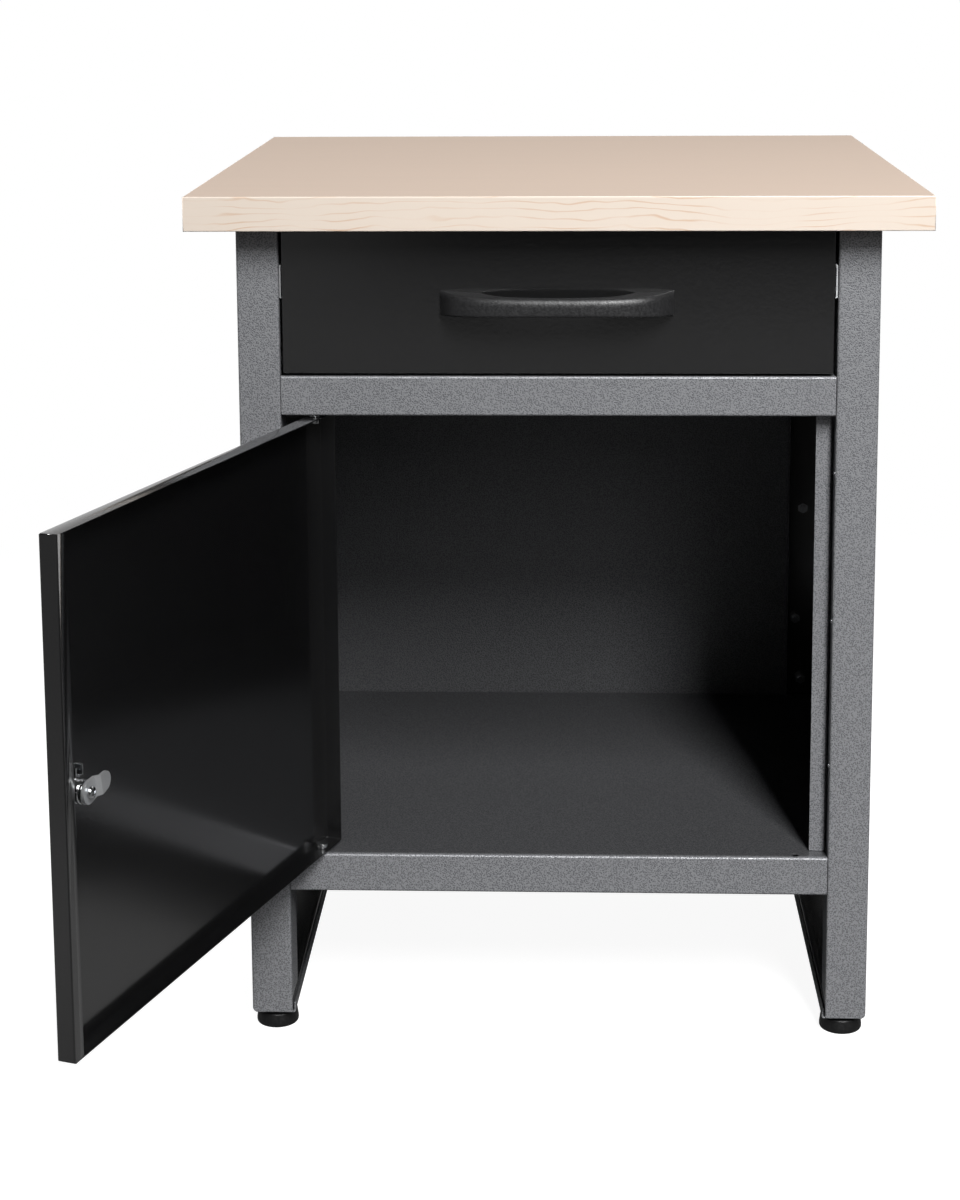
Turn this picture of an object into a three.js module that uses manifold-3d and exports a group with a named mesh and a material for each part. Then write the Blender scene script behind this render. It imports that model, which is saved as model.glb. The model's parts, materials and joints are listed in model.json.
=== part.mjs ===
// A free-standing steel workbench: a laminated worktop on four sheet-steel legs, a drawer on ball slides
// under the worktop, and a cabinet below it that one door closes, turning on two pins.
// The drawer is shut and the door stands open. Millimetres, z up from the floor, front towards -y.
import * as THREE from 'three';
import { mergeVertices } from 'three/addons/utils/BufferGeometryUtils.js';
import Module from 'manifold-3d';

// Clearances
const SEAT = 0.3; // between pieces that bear on each other
const GLUE_LINE = 0.05;
const SCREW_PLAY = 0.3; // round a screw or a pin in its hole

// Worktop, and how far it stands out over the frame
const WORKTOP_THICKNESS = 28;
const EDGE_BAND = 1;
const FRONT_OVERHANG = 30;
const REAR_OVERHANG = 74;
const SIDE_OVERHANG = 38;
const WORKTOP_SCREW_RADIUS = 2.3;
const WORKTOP_SCREW_BITE = 20;
const WORKTOP_SCREW_FROM_END = 60;

// Frame of folded sheet
const BODY_WIDTH = 524;
const BODY_DEPTH = 496;
const FRAME_HEIGHT = 693.7;
const SHEET = 1.2;
const BEND_INSIDE = 0.8;
const LEG_FACE = 34.5;
const LEG_FLANGE = 40;
const LEG_NOTCH = 4; // from the foot rail up to the cut in a leg's flange
const LEG_CORNER = 4; // radius of a leg's lower outer corner
const TOP_RAIL_HEIGHT = 69;
const REAR_RAIL_HEIGHT = 50;
const REAR_RAIL_DEPTH = 30;

// Feet and the rails that they screw into
const FOOT_HEIGHT = 15;
const FOOT_RADIUS = 18;
const FOOT_STEM_RADIUS = 4;
const FOOT_STEM_LENGTH = 30;
const FOOT_FROM_END = 20;
const FOOT_RAIL_RISE = 9;
const FOOT_RAIL_STEP = 2.5; // how far the rail stands inside the leg
const FOOT_RAIL_PROUD = 1; // how far the rail hangs below the leg
const WELD_NUT_RADIUS = 7.5;
const WELD_NUT_HEIGHT = 6;

// Heights of the cabinet
const SHELF_TOP = 159;
const SHELF_LIP = 33;
const SHELF_RETURN = 15;
const SHELF_FOLD_STEP = 0.5; // of the side folds behind the shelf's edge
const DRAWER_OPENING = 122.7;
const MID_RAIL_HEIGHT = 33;
const MID_RAIL_FLANGE = 38;

// Side panels and back panel
const PANEL_SHEET = 1;
const BACK_LAP = 3; // of the back panel over the side panels' folds
const BACK_FLANGE = 12;
const BOLT_RADIUS = 3;
const BOLT_HEAD_RADIUS = 5.5;
const BOLT_HEAD_HEIGHT = 4;
const BOLT_NUT_HEIGHT = 5;
const BOLT_END = 2.5; // bare thread past the nut
const LEG_BOLT_RISES = [17, 196]; // above the shelf
const LAP_BOLT_RISE = 81;
const LAP_BOLT_INSET = 6; // nearer the middle than the leg bolts

// Door
const DOOR_GAP = 2;
const DOOR_THICKNESS = 14;
const DOOR_SHEET = 1;
const DOOR_SIDE_LIP = 12;
const DOOR_OPEN_ANGLE = THREE.MathUtils.degToRad(108.5);
const PIVOT_INSET = 27; // from the leg
const PIVOT_DEPTH = 7; // behind the front
const PIN_RADIUS = 3;
const PIN_HEAD_RADIUS = 5;
const PIN_HEAD_HEIGHT = 4;
const PIN_REACH = 4; // past the sheet that carries it

// Stop strip on the lock side
const STOP_GAP = 2;
const STOP_WIDTH = 13.5;
const STOP_DEPTH = 20;
const STOP_SPACER = 1;
const STOP_SCREW_RADIUS = 2;
const STOP_SCREW_HEAD_RADIUS = 4;
const STOP_SCREW_HEAD = 2.5;
const STOP_SCREW_TAIL = 5;
const STOP_SCREW_LOWEST = 81; // above the shelf
const STOP_SCREW_HIGHEST = 48; // below the middle rail
const STOP_SCREW_COUNT = 3;

// Cam lock
const LOCK_INSET = 27; // from the door's free edge
const LOCK_HEAD_RADIUS = 11;
const LOCK_HEAD_PROUD = 2.2;
const LOCK_BARREL_RADIUS = 9;
const LOCK_PLUG_RADIUS = 6.5;
const LOCK_BOSS_RADIUS = 4;
const LOCK_PLAY = 0.3;
const CLIP_SHEET = 1.6;
const CLIP_HALF_WIDTH = 11.5;
const CLIP_TOP = 13;
const CLIP_LEGS = 8;
const CLIP_EAR = 6.5;
const CLIP_EAR_TOP = 18;
const CLIP_EAR_SPACING = 9;
const CAM_SHEET = 2;
const CAM_CRANK = 3; // step from the cam's hub back to its tip
const CAM_CRANK_START = 8.5; // from the axis
const CAM_CRANK_RUN = 3;
const CAM_REACH = 24;
const CAM_HALF_WIDTH = 8.5;
const CAM_TIP_RADIUS = 7;
const CAM_CLEARANCE = 0.8; // behind the stop strip
const CAM_REST_ANGLE = THREE.MathUtils.degToRad(10); // above level, towards the pivot
const CAM_SCREW_RADIUS = 2;
const CAM_SCREW_HEAD_RADIUS = 4.6;
const CAM_SCREW_HEAD = 3;
const CAM_SCREW_LENGTH = 10;
const KEY_SLOT_WIDTH = 1.8;
const KEY_SLOT_HEIGHT = 8;
const KEY_SLOT_DEPTH = 6;

// Drawer and its slides
const DRAWER_GAP = 2.5;
const DRAWER_TOP_GAP = 3;
const DRAWER_FRONT_DEPTH = 16;
const DRAWER_SHEET = 1;
const DRAWER_REAR_GAP = 22.1; // from the drawer to the back panel
const DRAWER_WALL = 90;
const DRAWER_BACK_WALL = 84;
const DRAWER_LIFT = 14; // of the drawer's floor above the middle rail
const SLIDE_REAR_GAP = 5.4; // from the slides to the back panel
const SLIDE_SET_BACK = 2; // behind the drawer front
const SLIDE_LIFT = 78; // of the slides' middle above the middle rail
const SLIDE_SHEET = 1.2;
const SLIDE_BEND = 2; // inside radius of the outer rail's folds
const SLIDE_OUTER_HEIGHT = 27.5;
const SLIDE_OUTER_DEPTH = 9.5;
const SLIDE_THICKNESS = 11;
const SLIDE_INNER_DEPTH = 7;
const CAGE_SHEET = 0.8;
const CAGE_DEPTH = 6.3;
const CAGE_LENGTH = 140;
const BALL_TRACK = 0.3; // from each rail to the cage

// Handle
const HANDLE_LENGTH = 190;
const HANDLE_PROJECTION = 34;
const HANDLE_BAR = 9.5;
const HANDLE_FOOT = 32;
const HANDLE_END = 3;
const HANDLE_END_HEIGHT = 20;
const HANDLE_BAR_HEIGHT = 15;
const BOW_SHOULDER = 0.72; // share of the half length where the bow starts to bend back
const BOW_HAUNCH = 0.86; // share of the half length that pulls the bend out
const BOW_HAUNCH_REACH = 0.86; // share of the projection there
const GRIP_SHOULDER = 0.62; // share of the half opening where its back starts to bend
const GRIP_HAUNCH = 0.8; // share of the half opening and of its depth that pulls the bend out
const HANDLE_FLARE = 0.92; // share of the half length where the bar grows to the height of its ends
const HANDLE_SCREW_RADIUS = 2;
const HANDLE_SCREW_HEAD_RADIUS = 4;
const HANDLE_SCREW_HEAD = 2.5;
const HANDLE_SCREW_BITE = 8;
const HANDLE_SCREW_FROM_END = 17;

// Rounds of the turned pieces
const ROUND_SIDES = 20;
const SMALL_SIDES = 12;
const ARC_STEPS = 3;
const HANDLE_STEPS = 14;

// Places worked out from the sizes above
const worktopHalfX = BODY_WIDTH / 2 + SIDE_OVERHANG;
const worktopHalfY = (FRONT_OVERHANG + BODY_DEPTH + REAR_OVERHANG) / 2;
const halfBody = BODY_WIDTH / 2;
const halfOpening = halfBody - LEG_FACE;
const frontY = -worktopHalfY + FRONT_OVERHANG;
const rearY = frontY + BODY_DEPTH;
const rearWebY = rearY - LEG_FLANGE;
const behindLegY = frontY + LEG_FLANGE + SEAT;
const underWorktop = FRAME_HEIGHT + SEAT;
const worktopTop = underWorktop + WORKTOP_THICKNESS;
const legBottom = FOOT_HEIGHT + FOOT_RAIL_PROUD;
const footRailTop = FOOT_HEIGHT + FOOT_RAIL_RISE;
const footRailOuter = halfBody - SHEET - SEAT;
const footRailInner = halfOpening - FOOT_RAIL_STEP;
const footX = (footRailOuter + footRailInner) / 2;
const skinOuter = footRailOuter;
const skinInner = skinOuter - PANEL_SHEET;
const sideFoldBack = rearWebY - SEAT;
const sideFoldFront = sideFoldBack - PANEL_SHEET;
const backPanelRear = sideFoldFront - SEAT;
const backPanelFront = backPanelRear - PANEL_SHEET;
const shelfRear = backPanelFront - SEAT;
const shelfUnder = SHELF_TOP - SHELF_LIP;
const midRailTop = FRAME_HEIGHT - DRAWER_OPENING;
const midRailBottom = midRailTop - MID_RAIL_HEIGHT;
const legBoltX = halfBody - LEG_FACE / 2;
const pivotX = -halfOpening + PIVOT_INSET;
const pivotY = frontY + PIVOT_DEPTH;
const stopFrontY = frontY + DOOR_THICKNESS + STOP_GAP;
const stopOuter = halfOpening - STOP_SPACER;
const stopScrewY = stopFrontY + STOP_DEPTH / 2;
const drawerHalf = halfOpening - DRAWER_GAP;
const drawerFloor = midRailTop + DRAWER_LIFT;
const slideFace = halfOpening - SEAT;
const slideZ = midRailTop + SLIDE_LIFT;
const slideFrontY = frontY + DRAWER_FRONT_DEPTH + SLIDE_SET_BACK;
const drawerSideFace = slideFace - SLIDE_THICKNESS - SEAT;
const drawerFrontBottom = midRailTop + DRAWER_GAP;
const drawerFrontTop = underWorktop - DRAWER_TOP_GAP;
const handleZ = (drawerFrontBottom + drawerFrontTop) / 2;

// Colours, gloss and metalness of each finish
const FINISHES = {
  hammertone: { color: 0x838386, roughness: 0.5, metalness: 0.25 },
  blackPowder: { color: 0x242425, roughness: 0.55, metalness: 0.1 },
  laminate: { color: 0xd6c3b2, roughness: 0.5, metalness: 0 },
  mapleBand: { color: 0xefdfcb, roughness: 0.5, metalness: 0 },
  zinc: { color: 0xc9ccce, roughness: 0.3, metalness: 1 },
  blackPlastic: { color: 0x1c1c1d, roughness: 0.45, metalness: 0 },
};

const wasm = await Module();
wasm.setup();

// A closed three.js geometry as a solid that can be joined and cut.
function solid(geometry) {
  const loose = geometry.index ? geometry.toNonIndexed() : geometry;
  const bare = new THREE.BufferGeometry().setAttribute('position', loose.getAttribute('position'));
  const merged = mergeVertices(bare, 1e-4);
  const corners = merged.index.array;
  const triVerts = [];
  for (let i = 0; i < corners.length; i += 3) {
    const [a, b, c] = corners.slice(i, i + 3);
    if (a !== b && b !== c && c !== a) triVerts.push(a, b, c);
  }
  const vertProperties = merged.getAttribute('position').array;
  return new wasm.Manifold(
    new wasm.Mesh({ numProp: 3, vertProperties, triVerts: new Uint32Array(triVerts) }),
  );
}

const join = (...bodies) => bodies.reduce((whole, body) => whole.add(body));
const cut = (body, ...tools) => tools.reduce((left, tool) => left.subtract(tool), body);

// Adds a solid to a group as a named mesh with its own material.
function addPiece(group, name, body, finish) {
  const made = body.getMesh();
  const geometry = new THREE.BufferGeometry()
    .setAttribute('position', new THREE.BufferAttribute(made.vertProperties, made.numProp))
    .setIndex(new THREE.BufferAttribute(made.triVerts, 1));
  geometry.computeVertexNormals();
  const mesh = new THREE.Mesh(geometry, new THREE.MeshStandardMaterial(FINISHES[finish]));
  mesh.name = name;
  group.add(mesh);
  return mesh;
}

function block([x0, x1], [y0, y1], [z0, z1]) {
  const box = new THREE.BoxGeometry(x1 - x0, y1 - y0, z1 - z0);
  return solid(box.translate((x0 + x1) / 2, (y0 + y1) / 2, (z0 + z1) / 2));
}

// A block on the left (-1) or right (1) of the middle plane, from its distances to that plane.
function sideBlock(side, [near, far], y, z) {
  return block(side < 0 ? [-far, -near] : [near, far], y, z);
}

const extrude = (shape, depth, curveSegments = ARC_STEPS) =>
  new THREE.ExtrudeGeometry(shape, { depth, bevelEnabled: false, curveSegments });

// An outline in x, y extruded upwards.
const alongZ = (shape, [z0, z1], steps) => solid(extrude(shape, z1 - z0, steps).translate(0, 0, z0));

// An outline in x, z extruded backwards.
function alongY(shape, [y0, y1], steps) {
  return solid(extrude(shape, y1 - y0, steps).rotateX(Math.PI / 2).translate(0, y1, 0));
}

// An outline in y, z extruded to the right.
function alongX(shape, [x0, x1]) {
  const turn = new THREE.Matrix4().makeBasis(
    new THREE.Vector3(0, 1, 0),
    new THREE.Vector3(0, 0, 1),
    new THREE.Vector3(1, 0, 0),
  );
  return solid(extrude(shape, x1 - x0).applyMatrix4(turn).translate(x0, 0, 0));
}

// The cut edge of a folded sheet: a walk along its outer corners, with the sheet and every fold on its left.
function foldedSheet(walk, sheet = SHEET, inside = BEND_INSIDE) {
  const at = walk.map(([u, v]) => new THREE.Vector2(u, v));
  const along = at.slice(1).map((point, i) => point.clone().sub(at[i]).normalize());
  const left = along.map(({ x, y }) => new THREE.Vector2(-y, x));
  const outside = inside + sheet;
  const folds = at.slice(1, -1).map((point, i) => ({
    centre: point.clone().addScaledVector(left[i], outside).addScaledVector(left[i + 1], outside),
    from: Math.atan2(-left[i].y, -left[i].x),
    to: Math.atan2(-left[i + 1].y, -left[i + 1].x),
  }));
  const last = at.length - 1;
  const endInside = at[last].clone().addScaledVector(left[last - 1], sheet);
  const startInside = at[0].clone().addScaledVector(left[0], sheet);
  const shape = new THREE.Shape().moveTo(at[0].x, at[0].y);
  for (const { centre, from, to } of folds) shape.absarc(centre.x, centre.y, outside, from, to, false);
  shape.lineTo(at[last].x, at[last].y).lineTo(endInside.x, endInside.y);
  for (const { centre, from, to } of folds.toReversed())
    shape.absarc(centre.x, centre.y, inside, to, from, true);
  return shape.lineTo(startInside.x, startInside.y).closePath();
}

// The same walk on the left or on the right of the middle plane: it is given for the right.
const sidedWalk = (side, walk) => (side > 0 ? walk : walk.map(([u, v]) => [-u, v]).reverse());

// A round piece from its radii and heights, from the bottom up, on a vertical axis.
function turned(profile, sides = ROUND_SIDES) {
  const points = profile.map(([radius, z]) => new THREE.Vector2(radius, z));
  return new THREE.LatheGeometry(points, sides).rotateX(Math.PI / 2);
}

const upright = (profile, x, y, z = 0, sides) => solid(turned(profile, sides).translate(x, y, z));

// The same, with its axis along x (heights run to the right) or along y (heights run to the back).
const lyingX = (profile, x, y, z, sides) =>
  solid(turned(profile, sides).rotateY(Math.PI / 2).translate(x, y, z));
const lyingY = (profile, x, y, z, sides) =>
  solid(turned(profile, sides).rotateX(-Math.PI / 2).translate(x, y, z));

const rod = (radius, z0, z1) => [[0, z0], [radius, z0], [radius, z1], [0, z1]];

const bench = new THREE.Group();
const SIDES = [['left', -1], ['right', 1]];

// Worktop: a laminated board with a band on each edge, screwed down through the top rails
const boardHalfX = worktopHalfX - EDGE_BAND - GLUE_LINE;
const boardHalfY = worktopHalfY - EDGE_BAND - GLUE_LINE;
const worktopZ = [underWorktop, worktopTop];
const topRailFlangeX = (halfOpening + skinInner - SEAT) / 2;
const worktopScrewYs = [behindLegY + WORKTOP_SCREW_FROM_END, shelfRear - WORKTOP_SCREW_FROM_END];
const worktopScrewTop = underWorktop + WORKTOP_SCREW_BITE;

function buildWorktop() {
  let board = block([-boardHalfX, boardHalfX], [-boardHalfY, boardHalfY], worktopZ);
  SIDES.forEach(([side, sign]) => {
    worktopScrewYs.forEach((y, i) => {
      const x = sign * topRailFlangeX;
      const hole = rod(WORKTOP_SCREW_RADIUS + SCREW_PLAY, underWorktop - SEAT, worktopScrewTop + SEAT);
      board = cut(board, upright(hole, x, y, 0, SMALL_SIDES));
      const headTop = FRAME_HEIGHT - SHEET - SEAT;
      const profile = [
        [0, headTop - WORKTOP_SCREW_RADIUS],
        [2 * WORKTOP_SCREW_RADIUS, headTop - WORKTOP_SCREW_RADIUS],
        [2 * WORKTOP_SCREW_RADIUS, headTop],
        [WORKTOP_SCREW_RADIUS, headTop],
        [WORKTOP_SCREW_RADIUS, worktopScrewTop - 2 * WORKTOP_SCREW_RADIUS],
        [0, worktopScrewTop],
      ];
      const name = `worktop_screw_${['front', 'rear'][i]}_${side}`;
      addPiece(bench, name, upright(profile, x, y, 0, SMALL_SIDES), 'zinc');
    });
  });
  addPiece(bench, 'worktop_board', board, 'laminate');
  const across = [-worktopHalfX, worktopHalfX];
  const frontBand = block(across, [-worktopHalfY, -worktopHalfY + EDGE_BAND], worktopZ);
  addPiece(bench, 'worktop_band_front', frontBand, 'mapleBand');
  const rearBand = block(across, [worktopHalfY - EDGE_BAND, worktopHalfY], worktopZ);
  addPiece(bench, 'worktop_band_rear', rearBand, 'mapleBand');
  for (const [side, sign] of SIDES) {
    const bandX = [worktopHalfX - EDGE_BAND, worktopHalfX];
    const band = sideBlock(sign, bandX, [-boardHalfY, boardHalfY], worktopZ);
    addPiece(bench, `worktop_band_${side}`, band, 'mapleBand');
  }
}

// Bolts that hold a side panel's rear fold to the rear leg
const panelBolts = [
  ...LEG_BOLT_RISES.map((rise) => ({ x: legBoltX, z: SHELF_TOP + rise })),
  { x: legBoltX - LAP_BOLT_INSET, z: SHELF_TOP + LAP_BOLT_RISE },
];
const boltHole = (sign, { x, z }) =>
  lyingY(
    rod(BOLT_RADIUS + SCREW_PLAY, sideFoldFront - 1, rearWebY + SHEET + 1),
    sign * x,
    0,
    z,
    SMALL_SIDES,
  );

// Legs: channels that stand with the web to the front
const lowestStopScrew = SHELF_TOP + STOP_SCREW_LOWEST;
const highestStopScrew = midRailBottom - STOP_SCREW_HIGHEST;
const stopScrewPitch = (highestStopScrew - lowestStopScrew) / (STOP_SCREW_COUNT - 1);
const stopScrewZs = Array.from({ length: STOP_SCREW_COUNT }, (_, i) => lowestStopScrew + i * stopScrewPitch);
const stopScrewHole = (z) =>
  lyingX(
    rod(STOP_SCREW_RADIUS + SCREW_PLAY, stopOuter - 2 * SHEET, halfOpening + 2 * SHEET),
    0,
    stopScrewY,
    z,
    SMALL_SIDES,
  );

// What the rounding takes off a leg's lower outer corner
function legCorner(sign, webY) {
  const middleX = halfBody - LEG_CORNER;
  const middleZ = legBottom + LEG_CORNER;
  const y = [webY - 1, webY + LEG_FLANGE + 1];
  const square = sideBlock(sign, [middleX, halfBody + 1], y, [legBottom - 1, middleZ]);
  return cut(square, lyingY(rod(LEG_CORNER, y[0] - 1, y[1] + 1), sign * middleX, 0, middleZ));
}

function buildLegs() {
  const notchZ = [legBottom - 1, footRailTop + LEG_NOTCH];
  const foldDepth = BEND_INSIDE + SHEET;
  for (const [side, sign] of SIDES) {
    const channel = (webY) => {
      const walk = [
        [halfOpening, webY + LEG_FLANGE],
        [halfOpening, webY],
        [halfBody, webY],
        [halfBody, webY + LEG_FLANGE],
      ];
      return alongZ(foldedSheet(sidedWalk(sign, walk)), [legBottom, FRAME_HEIGHT]);
    };
    const pastFlange = frontY + LEG_FLANGE + 1;
    const flangeNotch = sideBlock(sign, [halfOpening - 1, halfOpening + foldDepth],
      [frontY + SHEET, pastFlange], notchZ);
    let frontLeg = cut(channel(frontY), flangeNotch, legCorner(sign, frontY));
    if (sign > 0) frontLeg = cut(frontLeg, ...stopScrewZs.map(stopScrewHole));
    addPiece(bench, `leg_front_${side}`, frontLeg, 'hammertone');
    const pastLeg = [rearWebY - 1, rearY + 1];
    const railNotch = sideBlock(sign, [halfOpening - 1, halfBody - SHEET], pastLeg, notchZ);
    const boltHoles = panelBolts.map((bolt) => boltHole(sign, bolt));
    const rearLeg = cut(channel(rearWebY), railNotch, legCorner(sign, rearWebY), ...boltHoles);
    addPiece(bench, `leg_rear_${side}`, rearLeg, 'hammertone');
  }
}

// Foot rails: shallow channels that join the legs at the bottom, with a weld nut for each foot
function buildFootRailsAndFeet() {
  const footYs = { front: frontY + FOOT_FROM_END, rear: rearY - FOOT_FROM_END };
  const stemPlay = FOOT_STEM_RADIUS + SCREW_PLAY;
  const padTop = FOOT_HEIGHT - SEAT;
  const neckBottom = padTop - 2;
  const footProfile = [
    [0, 0],
    [FOOT_RADIUS - 1.5, 0],
    [FOOT_RADIUS, 1.5],
    [FOOT_RADIUS, 4],
    [FOOT_RADIUS - 1, neckBottom - 1.5],
    [FOOT_RADIUS - 2.5, neckBottom],
    [2 * FOOT_STEM_RADIUS, neckBottom],
    [2 * FOOT_STEM_RADIUS, padTop],
    [FOOT_STEM_RADIUS, padTop],
    [FOOT_STEM_RADIUS, padTop + FOOT_STEM_LENGTH],
    [0, padTop + FOOT_STEM_LENGTH],
  ];
  for (const [side, sign] of SIDES) {
    const walk = [
      [footRailInner, footRailTop],
      [footRailInner, FOOT_HEIGHT],
      [footRailOuter, FOOT_HEIGHT],
      [footRailOuter, footRailTop],
    ];
    let rail = alongY(foldedSheet(sidedWalk(sign, walk)), [frontY + SHEET + SEAT, rearY]);
    for (const [end, y] of Object.entries(footYs)) {
      const nut = rod(WELD_NUT_RADIUS, FOOT_HEIGHT + SHEET / 2, FOOT_HEIGHT + SHEET + WELD_NUT_HEIGHT);
      const thread = rod(stemPlay, FOOT_HEIGHT - 1, FOOT_HEIGHT + SHEET + WELD_NUT_HEIGHT + 1);
      rail = join(rail, upright(nut, sign * footX, y, 0, 6));
      rail = cut(rail, upright(thread, sign * footX, y, 0, SMALL_SIDES));
      addPiece(bench, `foot_${end}_${side}`, upright(footProfile, sign * footX, y), 'blackPlastic');
    }
    addPiece(bench, `foot_rail_${side}`, rail, 'hammertone');
  }
}

// Rails under the worktop
function buildTopRails() {
  for (const [side, sign] of SIDES) {
    const walk = [
      [skinInner - SEAT, FRAME_HEIGHT],
      [halfOpening, FRAME_HEIGHT],
      [halfOpening, FRAME_HEIGHT - TOP_RAIL_HEIGHT],
    ];
    const rail = alongY(foldedSheet(sidedWalk(sign, walk)), [behindLegY, shelfRear]);
    const hole = rod(WORKTOP_SCREW_RADIUS + SCREW_PLAY, FRAME_HEIGHT - SHEET - 1, FRAME_HEIGHT + 1);
    const holes = worktopScrewYs.map((y) => upright(hole, sign * topRailFlangeX, y, 0, SMALL_SIDES));
    addPiece(bench, `top_rail_${side}`, cut(rail, ...holes), 'hammertone');
  }
  const rearWalk = [
    [rearWebY + REAR_RAIL_DEPTH, FRAME_HEIGHT],
    [rearWebY, FRAME_HEIGHT],
    [rearWebY, FRAME_HEIGHT - REAR_RAIL_HEIGHT],
  ];
  const rearRail = alongX(foldedSheet(rearWalk), [-halfOpening + SEAT, halfOpening - SEAT]);
  addPiece(bench, 'top_rail_rear', rearRail, 'hammertone');
}

// Side panels: a skin between the legs, folded inwards at the rear leg and over the foot rail
function buildSidePanels() {
  const z = [footRailTop + SEAT, FRAME_HEIGHT - SEAT];
  for (const [side, sign] of SIDES) {
    const outlineY = [frontY + SHEET + SEAT, sideFoldBack];
    const outline = sideBlock(sign, [halfOpening + SEAT, skinOuter], outlineY, z);
    const hollow = sideBlock(sign, [halfOpening, skinInner], [frontY, sideFoldFront],
      [z[0] + PANEL_SHEET, FRAME_HEIGHT]);
    const stemHole = upright(rod(2 * FOOT_STEM_RADIUS, FOOT_HEIGHT, z[0] + 2 * PANEL_SHEET), sign * footX,
      frontY + FOOT_FROM_END, 0, SMALL_SIDES);
    const boltHoles = panelBolts.map((bolt) => boltHole(sign, bolt));
    const panel = cut(outline, hollow, stemHole, ...boltHoles);
    addPiece(bench, `side_panel_${side}`, panel, 'blackPowder');
    const names = ['low', 'high', 'lap'];
    panelBolts.forEach((bolt, i) => {
      const nutBack = sideFoldFront - SEAT;
      const nutFront = nutBack - BOLT_NUT_HEIGHT;
      const headFront = rearWebY + SHEET + SEAT;
      const shank = lyingY(rod(BOLT_RADIUS, nutFront - BOLT_END, headFront + 1), sign * bolt.x, 0, bolt.z,
        SMALL_SIDES);
      const nut = lyingY(rod(BOLT_HEAD_RADIUS, nutFront, nutBack), sign * bolt.x, 0, bolt.z, 6);
      const head = lyingY(rod(BOLT_HEAD_RADIUS, headFront, headFront + BOLT_HEAD_HEIGHT), sign * bolt.x, 0,
        bolt.z, 6);
      addPiece(bench, `panel_bolt_${names[i]}_${side}`, join(shank, nut, head), 'zinc');
    });
  }
}

// Back panel, folded forwards along both sides above the shelf
function buildBackPanel() {
  const half = halfOpening + BACK_LAP;
  const top = FRAME_HEIGHT - SHEET - SEAT;
  const foldFront = backPanelRear - BACK_FLANGE;
  const outline = block([-half, half], [foldFront, backPanelRear], [shelfUnder, top]);
  const within = half - PANEL_SHEET;
  const foldBottom = SHELF_TOP + SEAT;
  const hollow = new THREE.Shape()
    .moveTo(-half - 1, shelfUnder - 1)
    .lineTo(half + 1, shelfUnder - 1)
    .lineTo(half + 1, foldBottom)
    .lineTo(within, foldBottom)
    .lineTo(within, top + 1)
    .lineTo(-within, top + 1)
    .lineTo(-within, foldBottom)
    .lineTo(-half - 1, foldBottom)
    .closePath();
  addPiece(bench, 'back_panel', cut(outline, alongY(hollow, [foldFront - 1, backPanelFront])), 'hammertone');
}

// Holes for the door's pins, on both sides so that the door can be hung on either
const pinHoles = (z0, z1) =>
  [-1, 1].map((sign) => {
    const hole = rod(PIN_RADIUS + SCREW_PLAY, z0, z1);
    return upright(hole, sign * pivotX, pivotY, 0, SMALL_SIDES);
  });

// Middle rail between drawer and door
function buildMidRail() {
  const walk = [
    [frontY + MID_RAIL_FLANGE, midRailTop],
    [frontY, midRailTop],
    [frontY, midRailBottom],
    [frontY + MID_RAIL_FLANGE, midRailBottom],
  ];
  const rail = alongX(foldedSheet(walk), [-halfOpening + SEAT, halfOpening - SEAT]);
  const holes = pinHoles(midRailBottom - 1, midRailBottom + SHEET + 1);
  addPiece(bench, 'mid_rail', cut(rail, ...holes), 'hammertone');
}

// Bottom shelf: narrow between the front legs, wide behind them, with folds all round
function buildShelf() {
  const walk = [
    [shelfRear, shelfUnder],
    [shelfRear, SHELF_TOP],
    [frontY, SHELF_TOP],
    [frontY, shelfUnder],
    [frontY + SHELF_RETURN, shelfUnder],
  ];
  const halfFront = halfOpening - SEAT;
  const halfRear = skinInner - SEAT;
  let shelf = alongX(foldedSheet(walk), [-halfRear, halfRear]);
  for (const [, sign] of SIDES) {
    const legRoom = sideBlock(sign, [halfFront, halfRear + 1], [frontY - 1, behindLegY],
      [shelfUnder - 1, SHELF_TOP + 1]);
    const foldX = halfRear - SHELF_FOLD_STEP;
    const foldY = [behindLegY + SHELF_FOLD_STEP, shelfRear - SHEET / 2];
    const foldZ = [shelfUnder + SHELF_FOLD_STEP, SHELF_TOP - SHEET / 2];
    const fold = sideBlock(sign, [foldX - SHEET, foldX], foldY, foldZ);
    shelf = cut(shelf, legRoom).add(fold);
  }
  const holes = pinHoles(SHELF_TOP - SHEET - 1, SHELF_TOP + 1);
  addPiece(bench, 'bottom_shelf', cut(shelf, ...holes), 'hammertone');
}

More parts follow.
